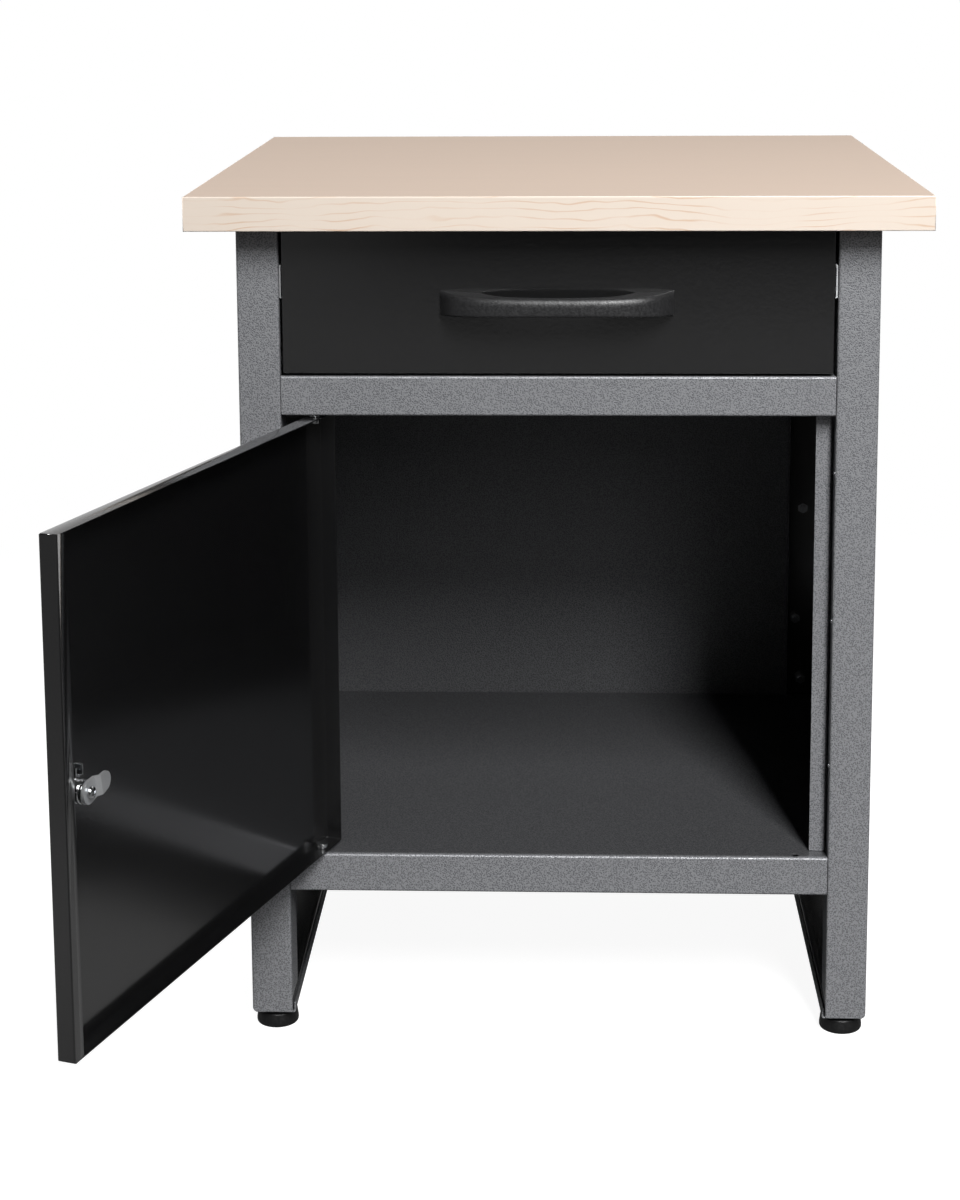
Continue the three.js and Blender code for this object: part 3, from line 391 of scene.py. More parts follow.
def maple_edge_band(colours):
    """Edge band of plastic printed as maple: thin wavy grain lines some millimetres apart run along
    the edge and fade in and out, a little darker and pinker than the ground, under a satin lacquer."""
    material, tree, place = new_material("maple_printed_edge_band_glued_on")
    waves = add_node(tree, "ShaderNodeMapping", {"Vector": place, "Scale": (9.0, 9.0, 30.0)}).outputs[0]
    swell = add_node(
        tree, "ShaderNodeTexNoise", {"Vector": waves, "Scale": 1.0, "Detail": 3.0, "Roughness": 0.5}
    ).outputs["Fac"]
    height = add_node(tree, "ShaderNodeSeparateXYZ", {0: place}).outputs["Z"]
    level = add_node(tree, "ShaderNodeMath", {0: height, 1: 1 / 0.007}, operation="MULTIPLY").outputs[0]
    rings = add_node(tree, "ShaderNodeMath", {0: swell, 1: 5.0, 2: level}, operation="MULTIPLY_ADD").outputs[0]
    saw = add_node(tree, "ShaderNodeMath", {0: rings, 1: 0.5}, operation="PINGPONG").outputs[0]
    thin = add_node(
        tree,
        "ShaderNodeMapRange",
        {"Value": saw, "From Min": 0.0, "From Max": 0.13, "To Min": 1.0, "To Max": 0.0},
        interpolation_type="SMOOTHSTEP",
    ).outputs[0]
    fade = add_node(
        tree, "ShaderNodeTexNoise", {"Vector": place, "Scale": 1 / 0.05, "Detail": 1.0}
    ).outputs["Fac"]
    shown = add_node(
        tree, "ShaderNodeMapRange", {"Value": fade, "From Min": 0.36, "From Max": 0.6, "To Min": 0.1, "To Max": 0.9}
    ).outputs[0]
    line = add_node(tree, "ShaderNodeMath", {0: thin, 1: shown}, operation="MULTIPLY").outputs[0]
    tone = add_node(
        tree,
        "ShaderNodeMix",
        {0: line, 6: rgba(colours.band), 7: rgba(colours.band_grain)},
        data_type="RGBA",
    ).outputs[2]
    relief = add_node(
        tree, "ShaderNodeBump", {"Height": line, "Strength": 0.05, "Distance": 0.0002}, invert=True
    ).outputs[0]
    gloss = add_node(
        tree, "ShaderNodeMapRange", {"Value": line, "To Min": 0.38, "To Max": 0.48}
    ).outputs[0]
    shader = add_node(
        tree,
        "ShaderNodeBsdfPrincipled",
        {"Base Color": tone, "Roughness": gloss, "Normal": relief},
    )
    add_node(tree, "ShaderNodeOutputMaterial", {"Surface": shader.outputs[0]})
    return material


def zinc_plate(name, colours, metallic, gloss_range):
    """Zinc plate with fine brushing about 0.5 mm across, cloudy over a centimetre."""
    material, tree, place = new_material(name)
    brushed = add_node(
        tree, "ShaderNodeMapping", {"Vector": place, "Scale": (300.0, 300.0, 2000.0)}
    ).outputs[0]
    scratches = add_node(
        tree, "ShaderNodeTexNoise", {"Vector": brushed, "Scale": 1.0, "Detail": 2.0}
    ).outputs["Fac"]
    clouds = add_node(
        tree, "ShaderNodeTexNoise", {"Vector": place, "Scale": 1 / 0.008, "Detail": 2.0}
    ).outputs["Fac"]
    gloss = add_node(
        tree,
        "ShaderNodeMapRange",
        {
            "Value": clouds,
            "From Min": 0.3,
            "From Max": 0.7,
            "To Min": gloss_range[0],
            "To Max": gloss_range[1],
        },
    ).outputs[0]
    tone = add_node(
        tree,
        "ShaderNodeMix",
        {0: scratches, 6: rgba([c * 0.85 for c in colours.zinc]), 7: rgba(colours.zinc)},
        data_type="RGBA",
    ).outputs[2]
    relief = add_node(
        tree, "ShaderNodeBump", {"Height": scratches, "Strength": 0.06, "Distance": 0.0001}
    ).outputs[0]
    shader = add_node(
        tree,
        "ShaderNodeBsdfPrincipled",
        {"Base Color": tone, "Metallic": metallic, "Roughness": gloss, "Normal": relief},
    )
    add_node(tree, "ShaderNodeOutputMaterial", {"Surface": shader.outputs[0]})
    return material


def bright_zinc(colours):
    """Zinc plate on pressed steel strip: a dull silver that takes the lamps as a broad pale sheen."""
    return zinc_plate("zinc_plated_on_pressed_steel", colours, 0.75, (0.34, 0.48))


def polished_zinc(colours):
    """Zinc plate on turned and polished steel: narrow bright lines beside black ones."""
    return zinc_plate("zinc_plated_on_turned_and_polished_steel", colours, 1.0, (0.10, 0.18))


def sheared_zinc(colours):
    """Zinc plate on a sheared end: the torn steel scatters the light, so it shows as a dull white."""
    return zinc_plate("zinc_plated_on_sheared_steel_end", colours, 0.1, (0.5, 0.6))


def moulded_plastic(name, tint, gloss_range):
    """Plastic, injection moulded in an etched tool: an even grain, drawn at 2 mm where the real one is finer,
    dulls the shine to a speckled satin."""
    material, tree, place = new_material(name)
    cloud = add_node(
        tree, "ShaderNodeTexNoise", {"Vector": place, "Scale": 1 / 0.002, "Detail": 3.0}
    ).outputs["Fac"]
    grain = add_node(
        tree, "ShaderNodeMapRange", {"Value": cloud, "From Min": 0.35, "From Max": 0.65}
    ).outputs[0]
    tone = add_node(
        tree,
        "ShaderNodeMix",
        {
            0: grain,
            6: rgba([c * 0.8 for c in tint]),
            7: rgba([c * 1.2 for c in tint]),
        },
        data_type="RGBA",
    ).outputs[2]
    gloss = add_node(
        tree, "ShaderNodeMapRange", {"Value": grain, "To Min": gloss_range[0], "To Max": gloss_range[1]}
    ).outputs[0]
    relief = add_node(
        tree, "ShaderNodeBump", {"Height": grain, "Strength": 0.8, "Distance": 0.00008}
    ).outputs[0]
    shader = add_node(
        tree,
        "ShaderNodeBsdfPrincipled",
        {"Base Color": tone, "Roughness": gloss, "Normal": relief},
    )
    add_node(tree, "ShaderNodeOutputMaterial", {"Surface": shader.outputs[0]})
    return material


def foot_plastic(colours):
    """Deep black moulded plastic with a satin shine."""
    return moulded_plastic("black_plastic_moulded_with_etched_grain", colours.plastic, (0.38, 0.56))


def grip_plastic(colours):
    """Softer black moulded plastic that shows its grain across the whole face of the bow."""
    return moulded_plastic("black_plastic_moulded_with_grip_grain", colours.grip, (0.34, 0.48))


FINISHES = {
    "grey_paint": hammertone_enamel,
    "grey_paint_with_painted_shade_inside": hammertone_painted_shade_inside,
    "grey_paint_with_painted_shade_rear": hammertone_painted_shade_rear,
    "black_paint": black_powder_coat,
    "laminate": pressed_laminate,
    "edge_band": maple_edge_band,
    "zinc": bright_zinc,
    "zinc_polished": polished_zinc,
    "zinc_sheared": sheared_zinc,
    "black_plastic": foot_plastic,
    "black_plastic_grip": grip_plastic,
}
made_finishes = {}


def finish(slot):
    """The material of a finish slot, made once."""
    if slot not in made_finishes:
        made_finishes[slot] = FINISHES[slot](bpy.context.scene.workbench.colours)
    return made_finishes[slot]


def weld_group():
    """A geometry group that joins the corners of a piece's faces and shades it smooth."""
    name = "weld_and_smooth"
    if name in bpy.data.node_groups:
        return bpy.data.node_groups[name]
    tree = bpy.data.node_groups.new(name, "GeometryNodeTree")
    tree.interface.new_socket("Geometry", in_out="INPUT", socket_type="NodeSocketGeometry")
    tree.interface.new_socket("Geometry", in_out="OUTPUT", socket_type="NodeSocketGeometry")
    source = add_node(tree, "NodeGroupInput").outputs[0]
    welded = add_node(tree, "GeometryNodeMergeByDistance", {"Geometry": source, "Distance": 1e-6}).outputs[0]
    smooth = add_node(tree, "GeometryNodeSetShadeSmooth", {"Geometry": welded}).outputs[0]
    add_node(tree, "NodeGroupOutput", {0: smooth})
    return tree


def soften(piece, edge):
    """Break the sharp edges of a piece and shade the rest smooth, as paint and plate leave them."""
    piece.modifiers.new("weld", "NODES").node_group = weld_group()
    flat = piece.modifiers.new("flat", "DECIMATE")
    flat.decimate_type = "DISSOLVE"
    flat.angle_limit = math.radians(0.5)
    broken = piece.modifiers.new("edges", "BEVEL")
    broken.width = edge
    broken.segments = 2
    broken.limit_method = "ANGLE"
    broken.angle_limit = math.radians(40)
    shade(piece)


def shade(piece):
    """Keep broad faces flat and turn the light only over the rounded edges."""
    weighted = piece.modifiers.new("shade", "WEIGHTED_NORMAL")
    weighted.weight = 100
    weighted.keep_sharp = True


def dress(slot, *names):
    """Give CAD nodes a finish and broken edges."""
    edge = bpy.context.scene.workbench.sizes.edge
    for name in names:
        node = frame["nodes"][name]
        node.material_slots[0].material = finish(slot)
        soften(node, edge)


def add_piece(name, shape, slot, place=None, look=None):
    """A new object from a bmesh, with the finish of a slot or a look of its own, placed in the row frame."""
    for face in shape.faces:
        face.smooth = True
    mesh = bpy.data.meshes.new(name)
    shape.to_mesh(mesh)
    shape.free()
    mesh.materials.append(finish(look or slot))
    piece = bpy.data.objects.new(name, mesh)
    bpy.context.scene.collection.objects.link(piece)
    if place is not None:
        piece.matrix_world = place
    return piece


def stand_for(piece, body, *nodes):
    """Let a new piece ride on a body in place of CAD nodes."""
    bpy.context.view_layer.update()
    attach(piece, body)
    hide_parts(*nodes)


def carve(piece, *cutters):
    """Apply the piece's modifiers and cut the cutters out of it."""
    for cutter in cutters:
        hole = piece.modifiers.new("hole", "BOOLEAN")
        hole.operation = "DIFFERENCE"
        hole.solver = "EXACT"
        hole.object = cutter
    bpy.context.view_layer.update()
    shape = piece.evaluated_get(bpy.context.evaluated_depsgraph_get())
    mesh = bpy.data.meshes.new_from_object(shape)
    piece.modifiers.clear()
    piece.data = mesh
    for cutter in cutters:
        bpy.data.objects.remove(cutter)


def turned(profile, segments):
    """A bmesh turned round Z from (radius, height) pairs, closed where the radius is 0 and where it returns."""
    shape = bmesh.new()
    rings = []
    for radius, height in profile:
        if radius == 0:
            rings.append([shape.verts.new((0, 0, height))])
            continue
        turns = [2 * math.pi * i / segments for i in range(segments)]
        rings.append([shape.verts.new((radius * math.cos(a), radius * math.sin(a), height)) for a in turns])
    for low, high in zip(rings, rings[1:]):
        for i in range(segments):
            j = (i + 1) % segments
            corners = [low[i % len(low)], low[j % len(low)], high[j % len(high)], high[i % len(high)]]
            shape.faces.new(list(dict.fromkeys(corners)))
    bmesh.ops.recalc_face_normals(shape, faces=shape.faces)
    return shape


def cylinder(name, start, end, radius, segments=32):
    """A plain round cutter between two points of the row frame."""
    axis = end - start
    shape = turned([(0, 0), (radius, 0), (radius, axis.length), (0, axis.length)], segments)
    place = Matrix.Translation(start) @ axis.to_track_quat("Z", "Y").to_matrix().to_4x4()
    return add_piece(name, shape, "zinc", place)


def rounded_profile(corners, radius, steps=3):
    """(radius, height) pairs with each inner corner of the outline rounded off."""
    smooth = [corners[0]]
    for before, here, after in zip(corners, corners[1:], corners[2:]):
        a, b, c = Vector(before), Vector(here), Vector(after)
        reach = min(radius, 0.45 * (a - b).length, 0.45 * (c - b).length)
        start = b + (a - b).normalized() * reach
        stop = b + (c - b).normalized() * reach
        for i in range(steps + 1):
            t = i / steps
            smooth.append(tuple(start * (1 - t) ** 2 + b * 2 * t * (1 - t) + stop * t**2))
    smooth.append(corners[-1])
    return smooth


def box_shape(low, high):
    """A bmesh box between two corners."""
    shape = bmesh.new()
    bmesh.ops.create_cube(shape, size=1.0)
    size = Vector(high) - Vector(low)
    bmesh.ops.scale(shape, vec=size, verts=shape.verts)
    bmesh.ops.translate(shape, vec=(Vector(high) + Vector(low)) / 2, verts=shape.verts)
    return shape


def on_plane(edge, axis, value):
    """Whether an edge lies on the plane where an axis has a value."""
    return all(abs(v.co[axis] - value) < 1e-6 for v in edge.verts)


class WORKBENCH_OT_worktop(bpy.types.Operator):
    """Finish the worktop board and build its rounded edge bands"""

    bl_idname = "workbench.worktop"
    bl_label = "Worktop"

    def execute(self, context):
        sizes = context.scene.workbench.sizes
        frame["nodes"]["worktop_board"].material_slots[0].material = finish("laminate")
        for side, axis, end in (("front", 1, 0), ("rear", 1, 1), ("left", 0, 0), ("right", 0, 1)):
            node = f"worktop_band_{side}"
            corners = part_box(node)
            outer = corners[end][axis]
            shape = box_shape(*corners)
            rims = [e for e in shape.edges if on_plane(e, axis, outer)]
            if axis == 0:
                rims = [e for e in rims if abs(e.verts[0].co.z - e.verts[1].co.z) < 1e-6]
            bmesh.ops.bevel(
                shape, geom=rims, offset=sizes.band_round, segments=4, profile=0.5, affect="EDGES"
            )
            piece = add_piece(f"edge_band_{side}", shape, "edge_band")
            shade(piece)
            stand_for(piece, "frame", node)
        dress("zinc", *[n for n in frame["nodes"] if n.startswith("worktop_screw_")])
        return {"FINISHED"}


class WORKBENCH_OT_frame(bpy.types.Operator):
    """Finish the legs, rails, panels and shelf with their bolts"""

    bl_idname = "workbench.frame"
    bl_label = "Frame and panels"

    def execute(self, context):
        names = list(frame["nodes"])
        grey = [n for n in names if n.startswith(("leg_", "top_rail_"))]
        dress("grey_paint", *grey, "mid_rail", "door_stop_strip")
        # Shelf, foot rails and back panel take the enamel with painted shade behind the front.
        dress("grey_paint_with_painted_shade_inside", "bottom_shelf", "foot_rail_left", "foot_rail_right")
        dress("grey_paint_with_painted_shade_rear", "back_panel")
        dress("black_paint", "side_panel_left", "side_panel_right")
        dress("zinc_polished", *[n for n in names if n.startswith(("panel_bolt_", "stop_screw_"))])
        for side, sign in (("left", -1), ("right", 1)):
            self.hem(side, sign)
        for number in (1, 2, 3):
            self.rivet(number)
        return {"FINISHED"}

    def rivet(self, number):
        """A rivet head on the inner flange of the right leg, level with a screw of the stop strip."""
        low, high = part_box(f"stop_screw_{number}")
        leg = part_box("leg_front_right")[0]
        profile = [(0, 0), (1.6, 0), (1.6, 0.6), (1.1, 1.1), (0, 1.25)]
        shape = turned([(r * MM, z * MM) for r, z in profile], 24)
        start = Vector((leg.x - 0.05 * MM, leg.y + 2.6 * MM, (low.z + high.z) / 2))
        place = Matrix.Translation(start) @ Matrix.Rotation(-math.pi / 2, 4, "Y")
        piece = add_piece(f"flange_rivet_{number}", shape, "zinc", place, "zinc_polished")
        shade(piece)
        bpy.context.view_layer.update()
        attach(piece, "frame")

    def hem(self, side, sign):
        """The side panel's lower hem, which covers the inside of the foot rail's outer wall."""
        sheet, gap = 1.2 * MM, 0.1 * MM
        low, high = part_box(f"foot_rail_{side}")
        panel_low, panel_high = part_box(f"side_panel_{side}")
        outer = (high.x if sign > 0 else low.x) - sign * (sheet + gap)
        across = sorted((outer, outer - sign * 0.6 * MM))
        shape = box_shape(
            (across[0], panel_low.y, low.z + sheet + gap), (across[1], panel_high.y, high.z + 0.6 * MM)
        )
        bmesh.ops.bevel(shape, geom=shape.edges[:], offset=0.2 * MM, segments=2, profile=0.5, affect="EDGES")
        piece = add_piece(f"side_panel_hem_{side}", shape, "black_paint")
        shade(piece)
        bpy.context.view_layer.update()
        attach(piece, "frame")


class WORKBENCH_OT_feet(bpy.types.Operator):
    """Build the four levelling feet"""

    bl_idname = "workbench.feet"
    bl_label = "Levelling feet"

    def execute(self, context):
        short = {"front": "f", "rear": "r", "left": "l", "right": "r"}
        corners = [(0, 0), (17, 0), (18, 1.5), (18, 4), (17, 11.4), (15, 12.7), (8, 12.7), (8, 14.7), (4, 14.7)]
        pitch = 1.25
        thread = []
        for turn in range(22):
            height = 15.2 + turn * pitch
            thread += [(4.0, height), (3.5, height + pitch / 2)]
        profile = rounded_profile(corners, 1.0) + thread + [(4.0, 43.5), (3.4, 44.5), (0, 44.5)]
        for end in ("front", "rear"):
            for side in ("left", "right"):
                node = f"foot_{end}_{side}"
                low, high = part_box(node)
                shape = turned([(r * MM, z * MM) for r, z in profile], 48)
                place = Matrix.Translation(((low.x + high.x) / 2, (low.y + high.y) / 2, low.z))
                piece = add_piece(f"levelling_foot_{end}_{side}", shape, "black_plastic", place)
                shade(piece)
                stand_for(piece, f"foot_{short[end]}{short[side]}", node)
        return {"FINISHED"}


class WORKBENCH_OT_drawer(bpy.types.Operator):
    """Build the folded drawer front and finish the drawer box and its slides"""

    bl_idname = "workbench.drawer"
    bl_label = "Drawer and slides"

    def execute(self, context):
        sizes = context.scene.workbench.sizes
        low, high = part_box("drawer_front")
        shape = box_shape(low, high)
        back = [f for f in shape.faces if f.normal.y > 0.9]
        bmesh.ops.delete(shape, geom=back, context="FACES_ONLY")
        folds = [e for e in shape.edges if len(e.link_faces) == 2]
        bmesh.ops.bevel(shape, geom=folds, offset=sizes.fold, segments=5, profile=0.5, affect="EDGES")
        piece = add_piece("drawer_front_sheet", shape, "black_paint")
        folded = piece.modifiers.new("sheet", "SOLIDIFY")
        folded.thickness = sizes.sheet
        folded.offset = -1
        folded.use_even_offset = True
        cutters = []
        for side in ("left", "right"):
            near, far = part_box(f"handle_screw_{side}")
            x, z = (near.x + far.x) / 2, (near.z + far.z) / 2
            start, stop = Vector((x, low.y - 5 * MM, z)), Vector((x, low.y + 5 * MM, z))
            cutters.append(cylinder(f"cutter_{side}", start, stop, 2.3 * MM))
        carve(piece, *cutters)
        shade(piece)
        stand_for(piece, "drawer", "drawer_front")
        dress("black_paint", "drawer_side_left", "drawer_side_right", "drawer_floor", "drawer_back")
        names = list(frame["nodes"])
        dress("zinc", *[n for n in names if n.startswith(("slide_", "handle_screw_"))])
        for side, sign in (("left", -1), ("right", 1)):
            self.rail_end(side, sign)
        return {"FINISHED"}

    def rail_end(self, side, sign):
        """The outer rail's front end, which runs on beside the drawer front with its corners turned in."""
        sheet, turn, bend = 1.2 * MM, 1.8 * MM, 1.2 * MM
        low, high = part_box(f"slide_outer_{side}")
        face = high.x if sign > 0 else low.x
        middle, half = (low.z + high.z) / 2, (high.z - low.z) / 2
        start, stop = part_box("drawer_front")[0].y + 3 * MM, low.y - 0.05 * MM
        inner = half - sheet
        corners = [(0, 0), (0, half), (turn, half), (turn, inner), (sheet, inner)]
        corners += [(x, -z) for x, z in reversed(corners)]
        outline = rounded_profile(corners, bend)[1:-1]
        shape = bmesh.new()
        ends = [[shape.verts.new((face - sign * x, y, middle + z)) for x, z in outline] for y in (start, stop)]
        for i in range(len(outline)):
            j = (i + 1) % len(outline)
            shape.faces.new((ends[0][i], ends[0][j], ends[1][j], ends[1][i]))
        shape.faces.new(ends[0])
        shape.faces.new(list(reversed(ends[1])))
        bmesh.ops.recalc_face_normals(shape, faces=shape.faces)
        # The ends are alike: the paler sheared finish on the right end is painted light, the darker plated finish
        # on the left end painted shade.
        look = "zinc_sheared" if sign > 0 else "zinc"
        piece = add_piece(f"slide_rail_end_{side}", shape, "zinc", None, look)
        soften(piece, 0.1 * MM)
        bpy.context.view_layer.update()
        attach(piece, "frame")


class WORKBENCH_OT_handle(bpy.types.Operator):
    """Build the bow handle on the drawer"""

    bl_idname = "workbench.handle"
    bl_label = "Bow handle"

    def execute(self, context):
        rounding = context.scene.workbench.sizes.handle_round
        low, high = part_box("drawer_handle")
        middle = Vector(((low.x + high.x) / 2, high.y, (low.z + high.z) / 2))
        half = (high.x - low.x) / 2
        reach = high.y - low.y
        bar = 9.5 * MM
        foot = half - 32 * MM
        end_height, bar_height = 20 * MM / 2, 15 * MM / 2

        def bezier(points, t):
            a, b, c, d = (Vector(p) for p in points)
            return a * (1 - t) ** 3 + b * 3 * t * (1 - t) ** 2 + c * 3 * t * t * (1 - t) + d * t**3

        def height_of(points, x):
            """The curve's second coordinate where its first one is x, by halving."""
            low_t, high_t = 0.0, 1.0
            for _ in range(40):
                t = (low_t + high_t) / 2
                if bezier(points, t).x < x:
                    low_t = t
                else:
                    high_t = t
            return bezier(points, (low_t + high_t) / 2).y

        outer = [(0, reach), (0.72 * half, reach), (0.86 * half, 0.86 * reach), (half, 3 * MM)]
        inner_top = reach - bar
        inner = [(0, inner_top), (0.62 * foot, inner_top), (0.8 * foot, 0.8 * inner_top), (foot, 0)]
        flare = 0.92 * half
        tall = [(0, bar_height), (flare, bar_height), (flare, end_height), (half + MM, end_height)]
        steps = 40
        stations = [half * math.sin(math.pi / 2 * i / steps) for i in range(steps + 1)]
        stations += [foot - 0.4 * MM, foot, foot + 0.4 * MM]
        stations = sorted(stations)
        stations = [-x for x in reversed(stations[1:])] + stations
        shape = bmesh.new()
        rings = []
        for x in stations:
            away = abs(x)
            front = height_of(outer, away)
            back = height_of(inner, away) if away < foot else 0.0
            top = height_of(tall, away)
            thick = front - back
            brow = min(rounding, 0.62 * thick)
            chin = min(0.5 * rounding, 0.3 * thick)
            heel = min(0.35 * rounding, 0.3 * thick) if away < foot else 0.2 * MM
            ring = []
            for corner, (sy, sz) in enumerate(((1, 1), (1, -1), (0, -1), (0, 1))):
                deep = (brow if sz > 0 else chin) if sy else heel
                tall_as = min(1.6 * deep, 1.3 * top) if sy and sz > 0 else deep
                cy = front - deep if sy else back + deep
                cz = sz * (top - tall_as)
                first = (90, 0, -90, -180)[corner]
                for i in range(6):
                    angle = math.radians(first - 18 * i)
                    y, z = cy + deep * math.cos(angle), cz + tall_as * math.sin(angle)
                    ring.append(shape.verts.new((middle.x + x, middle.y - y, middle.z + z)))
            rings.append(ring)
        for here, there in zip(rings, rings[1:]):
            for i in range(len(here)):
                j = (i + 1) % len(here)
                shape.faces.new((here[i], here[j], there[j], there[i]))
        shape.faces.new(rings[0])
        shape.faces.new(list(reversed(rings[-1])))
        bmesh.ops.recalc_face_normals(shape, faces=shape.faces)
        piece = add_piece("bow_handle", shape, "black_plastic", look="black_plastic_grip")
        shade(piece)
        stand_for(piece, "drawer", "drawer_handle")
        return {"FINISHED"}


def door_place():
    """The matrix from the door's own frame, along the door from its pivot, to where the door stands open."""
    hinge = next(j for j in frame["joints"] if j["name"] == "door_hinge")
    x, y = hinge["pos_m"][:2]
    angle = math.radians(min(hinge["range_deg"]))
    return Matrix.Translation((x, y, 0)) @ Matrix.Rotation(angle, 4, "Z")


class WORKBENCH_OT_door(bpy.types.Operator):
    """Build the folded door and finish its pivot pins"""

    bl_idname = "workbench.door"
    bl_label = "Cabinet door"

    def execute(self, context):
        sizes = context.scene.workbench.sizes
        place = door_place()
        low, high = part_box("door_panel")
        u0, u1 = -25 * MM, 426 * MM
        v0, v1 = -7 * MM, 7 * MM
        z0, z1 = low.z, high.z
        lip, relief = 12 * MM, 1.5 * MM
        shape = bmesh.new()
        made = {}

        def at(u, v, z):
            key = (round(u, 7), round(v, 7), round(z, 7))
            if key not in made:
                made[key] = shape.verts.new(key)
            return made[key]

        def face(*corners):
            return shape.faces.new([at(*c) for c in corners])

        face((u0, v0, z0), (u1, v0, z0), (u1, v0, z1), (u0, v0, z1))
        face((u1, v0, z0), (u1, v1, z0), (u1, v1, z1), (u1, v0, z1))
        face((u0, v0, z1), (u0, v1, z1), (u0, v1, z0), (u0, v0, z0))
        face((u0, v0, z1), (u1, v0, z1), (u1, v1, z1), (u0, v1, z1))
        face((u0, v1, z0), (u1, v1, z0), (u1, v0, z0), (u0, v0, z0))
        inner = u1 - lip
        face((u1, v1, z0), (inner, v1, z0 + relief), (inner, v1, z1 - relief), (u1, v1, z1))
        shape.normal_update()
        folds = [e for e in shape.edges if len(e.link_faces) == 2 and e.calc_face_angle() > 1.0]
        bmesh.ops.bevel(shape, geom=folds, offset=sizes.fold, segments=5, profile=0.5, affect="EDGES")
        piece = add_piece("door_sheet", shape, "black_paint", place)
        folded = piece.modifiers.new("sheet", "SOLIDIFY")
        folded.thickness = sizes.sheet
        folded.offset = -1
        folded.use_even_offset = True
        barrel = [place @ Vector((399 * MM, v, 348.5 * MM)) for v in (-12 * MM, 0.0)]
        cutters = [cylinder("cutter_lock", *barrel, 9.3 * MM, 48)]
        for z in (z0, z1):
            pin = [place @ Vector((0, 0, z + dz)) for dz in (-3 * MM, 3 * MM)]
            cutters.append(cylinder(f"cutter_{z:.3f}", *pin, 3.3 * MM))
        carve(piece, *cutters)
        shade(piece)
        stand_for(piece, "door", "door_panel")
        dress("zinc_polished", "pivot_pin_upper", "pivot_pin_lower")
        return {"FINISHED"}


class WORKBENCH_OT_lock(bpy.types.Operator):
    """Build the cam lock's barrel and cam screw, and finish its clip, plug and cam"""

    bl_idname = "workbench.lock"
    bl_label = "Cam lock"

    def execute(self, context):
        # Turned pieces are drawn along the lock's axis, from the front of the door to its back
        axis = door_place() @ Matrix.Translation((399 * MM, 0, 348.5 * MM)) @ Matrix.Rotation(-math.pi / 2, 4, "X")
        barrel = [
            (6.8, -9.5),
            (10.0, -9.5),
            (11.0, -8.6),
            (11.0, -7.3),
            (9.0, -7.3),
            (9.0, 1.0),
            (8.2, 1.4),
            (8.2, 2.6),
            (9.0, 3.0),
            (9.0, 4.6),
            (8.2, 5.0),
            (8.2, 6.0),
            (8.8, 6.3),
            (8.8, 7.7),
            (6.8, 7.7),
            (6.8, -9.5),
        ]
        shape = turned([(r * MM, z * MM) for r, z in rounded_profile(barrel, 0.3, 2)], 64)
        piece = add_piece("lock_barrel_turned", shape, "zinc", axis, "zinc_polished")
        shade(piece)
        stand_for(piece, "door", "lock_body")
        screw = [(0, 0.3), (2.0, 0.3), (2.0, 10.3), (4.6, 10.3), (4.6, 11.6), (3.9, 12.8), (2.2, 13.3), (0, 13.3)]
        shape = turned([(r * MM, z * MM) for r, z in rounded_profile(screw, 0.35, 2)], 48)
        piece = add_piece("cam_screw_crossed", shape, "zinc", axis, "zinc_polished")
        recesses = []
        for turn in (0.0, math.pi / 2):
            bar = box_shape((-2.7 * MM, -0.55 * MM, 11.6 * MM), (2.7 * MM, 0.55 * MM, 14 * MM))
            place = axis @ Matrix.Rotation(turn + math.radians(18), 4, "Z")
            recesses.append(add_piece(f"recess_{turn:.1f}", bar, "zinc", place))
        carve(piece, *recesses)
        shade(piece)
        stand_for(piece, "lock_barrel", "cam_screw")
        dress("zinc_polished", "lock_clip")
        dress("zinc", "lock_plug", "lock_cam")
        return {"FINISHED"}


CAMERA_PLACE = (15.2, -2223.4, 923.6)
CAMERA_YAW, CAMERA_PITCH, CAMERA_ROLL = 2.295, 9.551, -0.341
CAMERA_LENS = 72.79
CAMERA_SHIFT = (0.0, -0.21)


